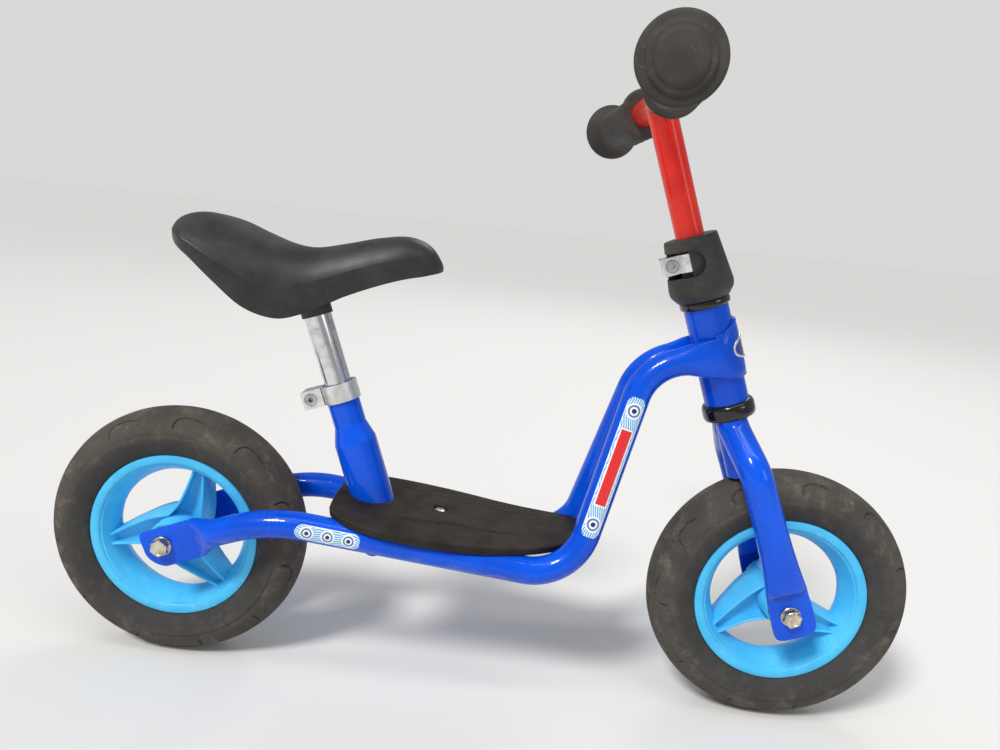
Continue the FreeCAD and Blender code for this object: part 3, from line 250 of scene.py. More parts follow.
class Field:
    def __init__(self, tree, socket):
        self.tree, self.socket = tree, socket

    def node(self, kind, settings, sockets, output=0):
        made = self.tree.nodes.new("ShaderNode" + kind)
        for name, setting in settings.items():
            setattr(made, name, setting)
        for name, given in sockets.items():
            if isinstance(given, Field):
                self.tree.links.new(given.socket, made.inputs[name])
            else:
                made.inputs[name].default_value = given
        return Field(self.tree, made.outputs[output])

    def math(self, operation, *others, clamp=False):
        settings = {"operation": operation, "use_clamp": clamp}
        return self.node("Math", settings, dict(enumerate((self, *others))))

    def __add__(self, other):
        return self.math("ADD", other)

    def __radd__(self, other):
        return self.math("ADD", other)

    def __sub__(self, other):
        return self.math("SUBTRACT", other)

    def __rsub__(self, other):
        return self.node("Math", {"operation": "SUBTRACT"}, {0: other, 1: self})

    def __mul__(self, other):
        return self.math("MULTIPLY", other)

    def __rmul__(self, other):
        return self.math("MULTIPLY", other)

    def __truediv__(self, other):
        return self.math("DIVIDE", other)

    def __rtruediv__(self, other):
        return self.node("Math", {"operation": "DIVIDE"}, {0: other, 1: self})

    def __abs__(self):
        return self.math("ABSOLUTE")

    def step(self, start, stop, low=0.0, high=1.0):
        # goes smoothly from low to high while this field goes from start to stop
        return self.node("MapRange", {"interpolation_type": "SMOOTHSTEP"}, {
            "Value": self, "From Min": start, "From Max": stop, "To Min": low, "To Max": high})

    def blend(self, first, second):
        # mixes two colours by this field
        return self.node("Mix", {"data_type": "RGBA"}, {0: self, 6: first, 7: second}, output=2)


def rgb(red, green, blue):
    # a colour as it shows on a screen, from 0 to 255, turned into light
    levels = [level / 255 for level in (red, green, blue)]
    return (*(level / 12.92 if level <= 0.04045 else ((level + 0.055) / 1.055) ** 2.4
              for level in levels), 1.0)


class Finish:
    def __init__(self, name, slot=None, **constants):
        self.material = bpy.data.materials.new(name)
        self.material.use_nodes = True
        self.slot = slot
        self.tree = self.material.node_tree
        self.shader = self.tree.nodes["Principled BSDF"]
        self.place = Field(self.tree, self.tree.nodes.new("ShaderNodeTexCoord").outputs["Object"])
        for socket, constant in constants.items():
            self.shader.inputs[socket.replace("_", " ")].default_value = constant

    def sets(self, **fields):
        for socket, field in fields.items():
            self.tree.links.new(field.socket, self.shader.inputs[socket.replace("_", " ")])

    def cloud(self, size, detail=3.0, rough=0.55, stretch=None):
        # noise whose blobs are about size millimetres across
        place = self.place
        if stretch:
            place = place.node("Mapping", {}, {"Vector": place, "Scale": stretch})
        return place.node("TexNoise", {}, {
            "Vector": place, "Scale": 1 / (size * mm), "Detail": detail, "Roughness": rough})

    def split(self, vector):
        # the three numbers of a vector
        parts = vector.node("SeparateXYZ", {}, {0: vector}).socket.node.outputs
        return [Field(self.tree, part) for part in parts]

    def cells(self, size):
        # rises from each cell's middle to its edge, with cells about size millimetres across
        return self.place.node("TexVoronoi", {}, {
            "Vector": self.place, "Scale": 1 / (size * mm)}, output="Distance")

    def scratches(self, size, width, stretch):
        # thin lines where a stretched noise crosses its middle value
        lines = abs(self.cloud(size, detail=1.0, stretch=stretch) - 0.5)
        return lines.step(0, width, 1.0, 0.0)

    def bump(self, height, strength, distance=0.3):
        made = height.node("Bump", {}, {
            "Height": height, "Strength": strength, "Distance": distance * mm})
        self.sets(Normal=made)


def paint(name, slot, tint, shade, worn):
    # gloss paint over steel: faint orange peel, dull dust, hairline scratches, a few chips and, low
    # down on the undersides, long pale scuffs
    finish = Finish(name, slot, Coat_Weight=0.45, Coat_Roughness=0.04, Specular_IOR_Level=0.1)
    broad = finish.cloud(60, detail=2.0)
    fine = finish.cloud(4, detail=4.0)
    lines = finish.scratches(9, 0.006, (1, 3.5, 0.45)) * finish.cloud(24).step(0.54, 0.66)
    lines = lines + finish.scratches(14, 0.004, (0.35, 2, 3)) * finish.cloud(37).step(0.57, 0.7)
    chips = finish.cloud(3, detail=5.0, rough=0.7).step(0.73, 0.75) * finish.cloud(45).step(0.5, 0.6)
    dust = finish.cloud(1.6, detail=2.0).step(0.62, 0.75) * finish.cloud(30, detail=2.0).step(0.45, 0.7)
    facing = finish.split(finish.place.node("TexCoord", {}, {}, output="Normal"))[2]
    height = finish.split(finish.place)[2]
    rubbed = finish.cloud(7, detail=7.0, rough=0.78, stretch=(0.35, 1, 1)).step(0.46, 0.6)
    rubbed = rubbed * facing.step(-0.7, 0.05, 1.0, 0.0) * height.step(0.122, 0.14, 1.0, 0.0)
    colour = broad.step(0.35, 0.65).blend(shade, tint)
    colour = (lines * 0.3 + dust * 0.14).blend(colour, worn)
    colour = (chips * 0.5).blend(colour, worn)
    colour = (rubbed * 0.45).blend(colour, rgb(128, 140, 165))
    finish.sets(Base_Color=colour,
                Roughness=fine * 0.10 + 0.22 + lines * 0.25 + dust * 0.3 + chips * 0.3 + rubbed * 0.3)
    finish.bump(finish.cloud(2.2, detail=2.0) * 0.25 - lines * 0.25 - chips * 0.6 - rubbed * 0.3, 0.14, 0.12)
    return finish


def plastic(name, slot, tint, shade, pale, grain, gloss, relief, coat=0.0, shine=0.35):
    # moulded plastic or rubber: mottled colour, pale rub marks and a fine grain
    finish = Finish(name, slot, Coat_Weight=coat, Coat_Roughness=0.08, Specular_IOR_Level=shine)
    broad = finish.cloud(26, detail=4.0).step(0.35, 0.68)
    rubbed = finish.cloud(11, detail=6.0, rough=0.72).step(0.54, 0.78)
    marks = finish.scratches(12, 0.008, (0.5, 2.5, 1)) * finish.cloud(22).step(0.5, 0.62)
    colour = broad.blend(shade, tint)
    colour = (rubbed * 0.35 + marks * 0.35).blend(colour, pale)
    finish.sets(Base_Color=colour, Roughness=finish.cloud(7, detail=4.0) * 0.16 + gloss + rubbed * 0.12)
    finish.bump(finish.cells(grain) * 0.5 + finish.cloud(grain * 0.6, detail=3.0) - marks * 0.4, relief, 0.25)
    return finish


def metal(name, slot, tint, shade, gloss, relief, spots, stretch=(1, 1, 1)):
    # plated or bare metal: fine drawn lines, cloudy tarnish and small dull spots
    finish = Finish(name, slot, Metallic=1.0)
    tarnish = finish.cloud(9, detail=5.0, rough=0.65).step(0.42, 0.7)
    drawn = finish.cloud(1.2, detail=3.0, stretch=stretch)
    specks = finish.cloud(1.4, detail=3.0).step(0.62, 0.7) * spots
    colour = (tarnish * 0.8 + specks).math("MINIMUM", 1.0).blend(tint, shade)
    finish.sets(Base_Color=colour, Roughness=drawn * 0.12 + gloss + tarnish * 0.10 + specks * 0.25)
    finish.bump(drawn + specks, relief, 0.08)
    return finish


blue = paint("frame paint", "frame_paint", rgb(0, 86, 226), rgb(0, 76, 208), rgb(120, 150, 215))
red = paint("bar paint", "bar_paint", rgb(242, 52, 38), rgb(228, 38, 30), rgb(240, 165, 150))
rimBlue = plastic("rim plastic", "rim_plastic", rgb(82, 198, 246), rgb(68, 186, 240), rgb(150, 222, 248),
                  grain=1.6, gloss=0.34, relief=0.05)
rubber = plastic("grip rubber", "grip_rubber", rgb(70, 65, 61), rgb(54, 51, 48), rgb(118, 110, 102),
                 grain=0.9, gloss=0.62, relief=0.24)
skin = plastic("saddle skin", "saddle_skin", rgb(55, 54, 52), rgb(42, 41, 40), rgb(84, 83, 80),
               grain=1.1, gloss=0.34, relief=0.16)
black = plastic("black plastic", "black_plastic", rgb(66, 65, 62), rgb(52, 51, 49), rgb(96, 94, 90),
                grain=0.8, gloss=0.48, relief=0.18)
shiny = plastic("gloss plastic", "gloss_plastic", rgb(16, 16, 17), rgb(10, 10, 11), rgb(50, 50, 50),
                grain=2.5, gloss=0.10, relief=0.03, coat=0.6)
board = plastic("deck plastic", "deck_plastic", rgb(52, 45, 38), rgb(33, 29, 26), rgb(88, 79, 68),
                grain=0.7, gloss=0.50, relief=0.30, shine=0.16)
zinc = metal("zinc", "zinc", rgb(226, 218, 198), rgb(140, 124, 92), gloss=0.17, relief=0.2, spots=0.5)
cast = metal("clamp metal", "clamp_metal", rgb(238, 238, 236), rgb(204, 204, 204),
             gloss=0.30, relief=0.35, spots=0.3)
chrome = metal("post chrome", "post_chrome", rgb(226, 227, 230), rgb(190, 189, 188),
               gloss=0.08, relief=0.05, spots=0.25, stretch=(1, 1, 14))
steel = metal("bolt steel", "clamp_metal", rgb(200, 200, 202), rgb(130, 130, 132),
              gloss=0.2, relief=0.1, spots=0.2)


def tyreFinish(name, centre):
    # dusty foam: brown-grey tread, darker side wall near the rim, pits and pale scuffs
    finish = Finish(name, "tyre_foam", Specular_IOR_Level=0.35)
    spot = finish.place.node("VectorMath", {"operation": "SUBTRACT"}, {
        0: finish.place, 1: (centre.x, 0, centre.z)})
    across, _, rise = finish.split(spot)
    radius = (across * across + rise * rise).math("SQRT") * 1000
    outer = (radius + finish.cloud(9, detail=4.0) * 10).step(84, 98)
    dust = finish.cloud(14, detail=7.0, rough=0.74).step(0.48, 0.8)
    grit = finish.cloud(1.5, detail=3.0).step(0.62, 0.78)
    stain = finish.cloud(30, detail=3.0).step(0.4, 0.65)
    colour = outer.blend(rgb(62, 61, 60), rgb(76, 71, 65))
    colour = (stain * 0.5).blend(colour, rgb(54, 50, 47))
    colour = (dust * (outer * 0.5 + 0.25)).blend(colour, rgb(126, 117, 105))
    colour = (grit * dust * 0.7).blend(colour, rgb(150, 140, 126))
    finish.sets(Base_Color=colour, Roughness=0.95 - finish.cloud(6, detail=4.0) * 0.25)
    pits = finish.cells(1.3).step(0.0, 0.45)
    finish.bump(finish.cloud(3, detail=6.0, rough=0.7) + pits * 0.5 + dust * 0.4, 0.4, 0.3)
    return finish


print("finishes made")


# Wheels: foam tyre with a ringed side wall and hooked grooves, and a three-spoke moulded rim.

tyre = {
    # radius and distance from the middle plane, from the rim out to the tread
    "profile": [(66.6, 15.2), (70.9, 15.4), (71.0, 18.3), (72.4, 20.0), (76, 22.2), (81, 24.4),
                (85.6, 25.35), (87.4, 25.4), (88.0, 25.1), (88.3, 24.5), (88.9, 24.3), (90, 24.25),
                (92, 24.0), (95.5, 22.6), (98.8, 20.4), (101.6, 17.6), (103.8, 14.4), (105.5, 10.6),
                (106.7, 6.2), (107.3, 2.4), (107.4, 0)],
    # one groove: how far round the wheel, at the pitch radius, and the radius reached there
    "hook": [(0, 94.5), (-0.3, 98), (1.5, 101), (6, 102.6), (14, 103), (24, 102), (33, 100.5)],
    "pitch radius": 100, "grooves": 11, "lead": 6, "far shift": 25, "depth": 1.6, "half width": 1.3,
    "tip width": 0.45, "flat": 0.35, "tip fade": 3.5, "root fade": 14, "lump": 0.12,
    "tread from": 12, "step": 0.7, "segments": 1188,
}


def tyreSide():
    # the profile's left half, with close spots on its tread, as (radius, height, way along it)
    spots, way = [], 0.0
    outline = tyre["profile"]
    for index in range(len(outline) - 1):
        (r0, h0), (r1, h1) = outline[index], outline[index + 1]
        span = math.hypot(r1 - r0, h1 - h0)
        pieces = max(1, round(span / tyre["step"])) if index >= tyre["tread from"] else 1
        spots += [(mix(r0, r1, k / pieces), mix(h0, h1, k / pieces), way + span * k / pieces)
                  for k in range(pieces)]
        way += span
    return spots + [(*outline[-1], way)]


def grooveDepths(side):
    # how deep the tread is cut, for each spot of the profile and each step round one groove's share
    steps = tyre["segments"] // tyre["grooves"]
    pitch = 2 * math.pi * tyre["pitch radius"] / tyre["grooves"]
    line = curve([(travel, min(side, key=lambda spot: abs(spot[0] - reach))[2])
                  for travel, reach in tyre["hook"]], 4)
    cuts = []
    for _, _, way in side:
        cut = []
        for step in range(steps):
            travel = pitch * step / steps
            travel -= pitch if travel > pitch - tyre["lead"] else 0
            best, spot = 99.0, 0.0
            for index in range(len(line) - 1):
                (x0, y0), (x1, y1) = line[index], line[index + 1]
                span = (x1 - x0) ** 2 + (y1 - y0) ** 2
                share = min(1, max(0, ((travel - x0) * (x1 - x0) + (way - y0) * (y1 - y0)) / span))
                away = math.hypot(travel - mix(x0, x1, share), way - mix(y0, y1, share))
                if away < best:
                    best, spot = away, (index + share) / (len(line) - 1)
            width = tyre["half width"] * mix(1.0, tyre["tip width"], spot)
            wall = ease((best - width * tyre["flat"]) / (width * (1 - tyre["flat"])))
            fade = ease((1 - spot) * tyre["tip fade"]) * ease(spot * tyre["root fade"] + 0.3)
            cut.append(tyre["depth"] * (1 - wall) * fade)
        cuts.append(cut)
    return cuts


def makeTyre(side, centre, body):
    half = tyreSide()
    cuts = grooveDepths(half)
    steps = len(cuts[0])
    whole = [(k, 1) for k in range(len(half))] + [(k, -1) for k in reversed(range(len(half) - 1))]
    rows = []
    for index, hand in whole:
        radius, height, _ = half[index]
        (r0, h0, _), (r1, h1, _) = half[max(0, index - 1)], half[min(len(half) - 1, index + 1)]
        lean = math.atan2(r1 - r0, h0 - h1) if index < len(half) - 1 else 0
        row = []
        for step, turn in enumerate(circle(tyre["segments"])):
            place = step if hand > 0 else steps // 2 + tyre["far shift"] - step
            sunk = cuts[index][place % steps]
            seed = Vector((math.cos(turn), math.sin(turn), height * hand / 30)) * 6
            reach = radius - sunk * math.cos(lean) + (noise.noise(seed) - 1) * tyre["lump"]
            row.append(centre + toward(ahead, up, turn) * reach * mm
                       + left * (height - sunk * math.sin(lean)) * hand * mm)
        rows.append(row)
    finish = tyreFinish(side + " tyre foam", centre)
    Shell().net(rows, closedRows=True).piece(side + "Tyre", body, finish, [side + "_tyre"], crease=50)


rim = {
    # radius and distance from the middle plane: the barrel's outside, its inside and the hub
    "barrel": [(70.4, 15.6), (70.5, 17.7), (70.1, 18.5), (69.2, 18.9), (64.6, 18.9), (63.4, 18.5),
               (62.6, 17.6), (62.2, 16.9), (61.0, 16.6), (60.2, 15.4), (57.4, 10.5), (54.6, 5.0), (53.2, 0)],
    "back": [(66.4, 15.3), (60.5, 7.0), (56.2, 0)],
    "hub": [(10.0, 29.9), (14.6, 30.2), (15.5, 29.8), (16.0, 28.8), (16.6, 12.0), (17.5, 2.0)],
    # a spoke's nearly straight rib and the one that swings round the hub, from the barrel in: way
    # out along the spoke and place aside of it
    "ribs": {1: [(58.6, 6.2), (50, 5.9), (40, 5.7), (30, 6.1), (22, 7.8), (15.2, 9.9)],
             -1: [(58.6, -1.6), (50.5, -4.9), (43, -7.9), (36, -10.4), (29.5, -12.7), (22, -15.1),
                  (13, -17.0), (1.0, -18.1)]},
    "middle": [(58.6, 2.3), (40, -1.0), (28, -3.0), (15.2, -3.0)], "at hub": 0.55, "hub turn": -11.0,
    "seam turn": {1: 33.1, -1: -86.9}, "hub radius": 15.5, "rib": 1.0, "rib top": 0.55,
    "rib edge": 0.5, "foot": 1.9, "end foot": 2.0, "end": 0.07, "floor hub": 6.0, "floor tip": 5.0,
    "floor rise": 0.8, "crest hub": 18.0, "crest tip": 11.2, "stations": 40,
    # shares of the way across the floor and down the flank, and how the ribs turn to meet at the hub
    "floor at": (0, 0.3, 0.6, 0.85, 1), "flank at": (0.2, 0.4, 0.6, 0.8, 0.93, 1), "look": 0.03,
    "seam from": 0.7, "waist": 53.2, "flare": 7.0, "flare at": 15.4, "flare power": 1.1, "sunk": 1.2,
}


def barrelRadius(height):
    return rim["waist"] + rim["flare"] * (abs(height) / rim["flare at"]) ** rim["flare power"]


def spotOn(line, share):
    # the spot at a share of the line's points
    place = min(1, max(0, share)) * (len(line) - 1)
    index = min(int(place), len(line) - 2)
    return Vector(line[index]).lerp(Vector(line[index + 1]), place - index)


def spokeLattice(hand):
    # points of one rib's half of a spoke on the left face: rows from the barrel to the hub, which
    # run from the spoke's floor over its rib and down the flank to the wheel's middle plane
    line, middle = curve(rim["ribs"][hand], 6), curve(rim["middle"], 6)
    seam = Vector(line[-1]).normalized()
    rows = []
    for index in range(rim["stations"]):
        share = index / (rim["stations"] - 1)
        ribAt = spotOn(line, share)
        heading = (spotOn(line, share + rim["look"]) - spotOn(line, share - rim["look"])).normalized()
        outward = Vector((heading.y, -heading.x)) * hand
        joined = ease((share - rim["seam from"]) / (1 - rim["seam from"]))
        outward = outward.lerp(seam, joined).normalized()
        centreAt = spotOn(middle, share / rim["at hub"])
        if share > rim["at hub"]:
            swung = (share - rim["at hub"]) / (1 - rim["at hub"])
            turn = math.radians(mix(rim["hub turn"], rim["seam turn"][hand], swung))
            centreAt = Vector((math.cos(turn), math.sin(turn))) * rim["hub radius"]
        crest = mix(rim["crest tip"], rim["crest hub"], share)
        floor = mix(rim["floor tip"], rim["floor hub"], share)
        edge = crest - rim["rib edge"]
        thick, top = outward * rim["rib"], outward * rim["rib"] * rim["rib top"]
        inner, outer = ribAt - thick, ribAt + thick
        foot = ribAt + outward * (rim["foot"] + rim["end foot"] * ease((rim["end"] - share) / rim["end"]))
        row = [(*centreAt.lerp(inner, k), floor + rim["floor rise"] * k ** 4) for k in rim["floor at"]]
        row += [(*inner, mix(floor, crest, 0.5)), (*inner, edge), (*(ribAt - top), crest),
                (*(ribAt + top), crest), (*outer, edge)]
        row += [(*outer.lerp(foot, k), edge * (1 - k)) for k in rim["flank at"]]
        if index == 0:
            row = [(math.sqrt(max(0, (barrelRadius(h) + rim["sunk"]) ** 2 - across ** 2)), across, h)
                   for _, across, h in row]
        rows.append(row)
    return rows


def makeRim(side, centre, body, turnDegrees):
    shell = Shell()
    front = rim["barrel"] + [(r, -h) for r, h in reversed(rim["barrel"][:-1])]
    back = [(r, -h) for r, h in rim["back"]] + list(reversed(rim["back"][:-1]))
    shell.turned(centre, left, front + back, count=180)
    hub = rim["hub"]
    shell.turned(centre, left, hub + [(r, -h) for r, h in reversed(hub)], count=72)
    for third in range(3):
        base = math.radians(turnDegrees + 120 * third)
        outward, sideways = toward(ahead, up, base), toward(up, -ahead, base)
        for hand in (1, -1):
            rows = []
            for row in spokeLattice(hand):
                whole = row + [(a, v, -h) for a, v, h in reversed(row[:-1])]
                rows.append([centre + (outward * a + sideways * v + left * h) * mm for a, v, h in whole])
            shell.net(rows, closedColumns=False)
    shell.piece(side + "Rim", body, rimBlue, [side + "_rim"], crease=38, join=0.00003)


hardware = {
    # radius and distance from the wheel's middle plane
    "bush": [(6.1, 20), (9.9, 20), (9.9, 30.2), (13.4, 30.25), (13.9, 30.6), (13.9, 31.5), (13.5, 31.9),
             (6.6, 31.95), (6.1, 31.5)],
    # radius and height over the plate
    "washer": [(4.3, 0), (7.6, 0), (8.0, 0.3), (8.0, 1.2), (7.6, 1.6), (4.3, 1.6)],
    "washer thick": 1.6, "plate half": 2,
    # the bolt's head: way down from its top, and the radius that its chamfer or its dish allows there
    "flat": 6.5, "corner": 1.135, "shrink": 0.05, "head": 5.3, "head turn": {1: 11, -1: 24},
    "segments": 96,
    "chamfer": [(0.95, None), (0.5, 6.95), (0, 6.05), (0, 5.2), (0.25, 4.9), (0.28, 0.02)],
}


def hexagonHead(shell, centre, axis, base, turn):
    other = axis.cross(ahead)
    flat, height = hardware["flat"], hardware["head"]
    shape = [(0.0, None)] + [(height - down, limit) for down, limit in hardware["chamfer"]]
    rows = []
    for rise, limit in shape:
        row = []
        for angle in circle(hardware["segments"]):
            radius = flat / math.cos(angle % (math.pi / 3) - math.pi / 6) - hardware["shrink"]
            radius = min(radius, limit or flat * hardware["corner"])
            row.append(centre + axis * (base + rise) * mm + toward(ahead, other, angle + turn) * radius * mm)
        rows.append(row)
    shell.net(rows, caps=True)


def makeHardware(side, centre, body, carrier, plate):
    bushes, washers, bolts = Shell(), Shell(), Shell()
    face = plate + hardware["plate half"]
    for hand in (1, -1):
        outward = left * hand
        bushes.turned(centre, outward, hardware["bush"], count=64)
        washers.turned(centre, outward, [(radius, face + height) for radius, height in hardware["washer"]],
                       count=56)
        hexagonHead(bolts, centre, outward, face + hardware["washer thick"],
                    math.radians(hardware["head turn"][hand]))
    bushes.piece(side + "HubBushes", body, black, [side + "_hub_bushes"], crease=40)
    washers.piece(side + "Washers", carrier, zinc, [side + "_axle_washers"])
    bolts.piece(side + "Bolts", carrier, zinc, [side + "_axle_bolts"], crease=24)


# where a spoke points, in degrees up from straight ahead, and how far aside the plates that hold
# the axle stand
wheels = {
    "rear": {"centre": rearAxle, "body": "rear_wheel", "carrier": "frame", "spoke": 70.5, "plate": 36.0},
    "front": {"centre": frontAxle, "body": "front_wheel", "carrier": "fork", "spoke": 94.5, "plate": 40.8},
}
for side, wheel in wheels.items():
    makeTyre(side, wheel["centre"], wheel["body"])
    makeRim(side, wheel["centre"], wheel["body"], wheel["spoke"])
    makeHardware(side, wheel["centre"], wheel["body"], wheel["carrier"], wheel["plate"])
print("wheels made")


# Frame: one bent tube on each side, crushed to a plate at the rear and wrapped round the head tube.

frameTube = {
    "radius": 11.0, "spacing": 3.0, "lead": 3, "plate y": 36.0, "plate high": 14.6, "plate low": 18.1,
    "plate thick": 2.0, "plate square": 7.0, "plate lean": 22, "plate end": -15.8, "plate stop": 27.0,
    "round": 50.0, "opening": 0.62, "opening square": 4.0, "opening steps": 12,
    "high corner": 4.0, "low corner": 14.0, "low bulge": 1.6,
    "insets": (0, 0.25, 0.8, 1.8, 3.2, 4.6, 6.5, 8.8, 11.4, 14, 22, 30, 38, 43.8),
    "bends": [(89.5, 47.0, 36.2), (331.0, 42.0, 11.5)], "radii": [120.0, 44.0, 42.0],
    "neck bend": (-58.5, 14.0, 216.7), "neck": (-33.0, 15.0, 216.7),
    # back distance, inner and outer y, low and high along the column, squareness
    "neck stations": [(-28, 6.0, 26.2, 205.0, 228.0, 2.0), (-21, 10.0, 25.9, 202.4, 228.8, 2.1),
                      (-14, 13.4, 25.2, 199.6, 229.0, 2.2), (-7, 16.0, 24.2, 197.2, 228.8, 2.3)],
    # degrees round the head tube, outer radius, low and high along the column, squareness
    "wrap": [(0, 23.0, 195.9, 228.6, 2.4), (12, 22.4, 195.2, 229.0, 2.5), (24, 21.7, 194.6, 230.2, 2.7),
             (36, 21.1, 194.2, 231.8, 3.0), (48, 20.7, 193.9, 233.6, 3.4), (60, 20.5, 193.8, 235.2, 4.0),
             (75, 20.4, 193.7, 236.4, 4.4), (90, 20.4, 193.7, 236.7, 4.4)],
    "wrap inside": 17.55, "gap": 0.2, "gap from": 50,
}
plateMiddle = rearAxle + left * frameTube["plate y"] * mm
tubeBends = [rearAxle + Vector(bend) * mm for bend in frameTube["bends"]]
towardBend = (tubeBends[0] - plateMiddle).normalized()


def cornered(reach, corner, inset, bulge=2.0):
    # how far a plate reaches aside at an inset from its end, where its corner is rounded; a bulge
    # of 2 is an arc and one of 1 a straight cut
    inset = min(inset, corner)
    return reach - corner + (corner ** bulge - (corner - inset) ** bulge) ** (1 / bulge)


def tubeLine(spacing):
    # the round tube's middle line, from its plate to the head tube
    points = [plateMiddle + towardBend * (frameTube["round"] + frameTube["lead"]) * mm, *tubeBends,
              column.at(*frameTube["neck bend"]), column.at(*frameTube["neck"])]
    return route(points, frameTube["radii"], spacing)


def plateSections():
    # the leaning plate that holds the axle, and the stretch where it opens into the round tube
    lean = math.radians(frameTube["plate lean"])
    forward, rise = toward(ahead, up, lean), toward(up, -ahead, lean)
    sections = []
    for inset in frameTube["insets"]:
        high = cornered(frameTube["plate high"], frameTube["high corner"], inset)
        low = cornered(frameTube["plate low"], frameTube["low corner"], inset, frameTube["low bulge"])
        spot = plateMiddle + forward * (frameTube["plate end"] + inset) * mm + rise * (high - low) / 2 * mm
        sections.append(oval(spot, left, rise, frameTube["plate thick"], (high + low) / 2,
                             frameTube["plate square"]))
    half, sink = (high + low) / 2, (high - low) / 2
    for step in range(frameTube["opening steps"]):
        share = (step + 1) / frameTube["opening steps"]
        place = mix(frameTube["plate stop"], frameTube["round"], share)
        onPlate = plateMiddle + forward * place * mm + rise * sink * mm
        onTube = plateMiddle + towardBend * place * mm
        heading = forward.lerp(towardBend, ease(share)).normalized()
        wideAxis = squared(left, heading)
        opened = math.sin(share * math.pi / 2) ** frameTube["opening"]
        thin = mix(frameTube["plate thick"], frameTube["radius"], opened)
        tall = mix(half, frameTube["radius"], ease(share))
        sections.append(oval(onPlate.lerp(onTube, ease(share)), wideAxis, heading.cross(wideAxis),
                             thin, tall, 2.0 + frameTube["opening square"] * (1 - share) ** 2))
    return sections


def wrapSections():
    # the flattened end, which narrows beside the head tube and wraps round its front
    sections = []
    for back, inner, outer, low, high, square in frameTube["neck stations"]:
        sections.append(oval(column.at(back, (inner + outer) / 2, (low + high) / 2), left, column.along,
                             (outer - inner) / 2, (high - low) / 2, square))
    inside = frameTube["wrap inside"]
    for degrees in range(0, 91, 6):
        outer, low, high, square = between(frameTube["wrap"], degrees)
        radial = toward(left, column.forward, math.radians(degrees))
        middle = column.at(0, 0, (low + high) / 2) + radial * (inside + outer) / 2 * mm
        sections.append(oval(middle, radial, column.along, (outer - inside) / 2, (high - low) / 2, square))
    return sections


def makeFrameTubes():
    line, radius = tubeLine(frameTube["spacing"]), frameTube["radius"]
    sections = plateSections() + [roundSection(*stop, radius) for stop in line] + wrapSections()
    for section in sections:
        for point in section:
            # the two halves stop just short of each other in front of the head tube
            if point.x > frameTube["gap from"] * mm:
                point.y = max(point.y, frameTube["gap"] * mm)
    shell = Shell()
    shell.net(sections, caps=True)
    shell.net(mirrored(sections), caps=True)
    shell.piece("FrameTubes", "frame", blue, ["left_frame_tube", "right_frame_tube", "head_lug"], crease=42)


weld = {
    "upper": 1.7, "lower": 1.4, "fork": 1.2, "tall": 1.15, "sides": 12,
    # height and fineness of the lumps in a bead
    "lumps": ((0.28, 0.9), (0.16, 2.3)), "pitch": 0.7,
    # the two beads along the lug: degrees to each side of its front, radius and height over its edge
    "lug reach": 94, "lug step": 3, "lug radius": 18.4, "lug lift": 0.3,
    "fork radius": 12.9, "fork height": 156.5, "fork tilt": 1.5, "fork step": 6,
}


def bead(spots, name, body, size):
    # a run of weld metal through (spot, outward, crosswise) stations
    rows = []
    for index, (spot, outward, cross) in enumerate(spots):
        seed = Vector((index * weld["pitch"], size * 9, len(spots)))
        lump = 1 + sum(height * noise.noise(seed * fine) for height, fine in weld["lumps"])
        rows.append(oval(spot, outward, cross, size * lump, size * lump * weld["tall"], 2.0, weld["sides"]))
    Shell().net(rows, caps=True).piece(name, body, blue, crease=60)


def lugEdge(upper):
    spots = []
    for degrees in range(-weld["lug reach"], weld["lug reach"] + 1, weld["lug step"]):
        _, low, high, _ = between(frameTube["wrap"], 90 - min(90, abs(degrees)))
        radial = toward(column.forward, left, math.radians(degrees))
        height = high + weld["lug lift"] if upper else low - weld["lug lift"]
        spots.append((column.at(0, 0, height) + radial * weld["lug radius"] * mm, radial, column.along))
    return spots


makeFrameTubes()
bead(lugEdge(True), "UpperLugWeld", "frame", weld["upper"])
bead(lugEdge(False), "LowerLugWeld", "frame", weld["lower"])


# Stickers: thin curved patches on the outer sides of the tubes, with plain stripes, bars and rings.

stickers = {
    "lift": 0.07, "sink": -0.05, "spread": 10, "spacing": 1.5,
    # ends along the tube, half width, and rings and half bar about the sticker's middle
    "neck": {"from": 309.0, "to": 427.0, "half": 7.6, "rings": (-47.0, 47.0), "ring": 6.4, "bar": 31.0},
    "stay": {"from": 66.0, "to": 118.0, "half": 6.6, "rings": (-16.5, 0.0, 16.5), "ring": 5.4, "bar": 0.0},
}


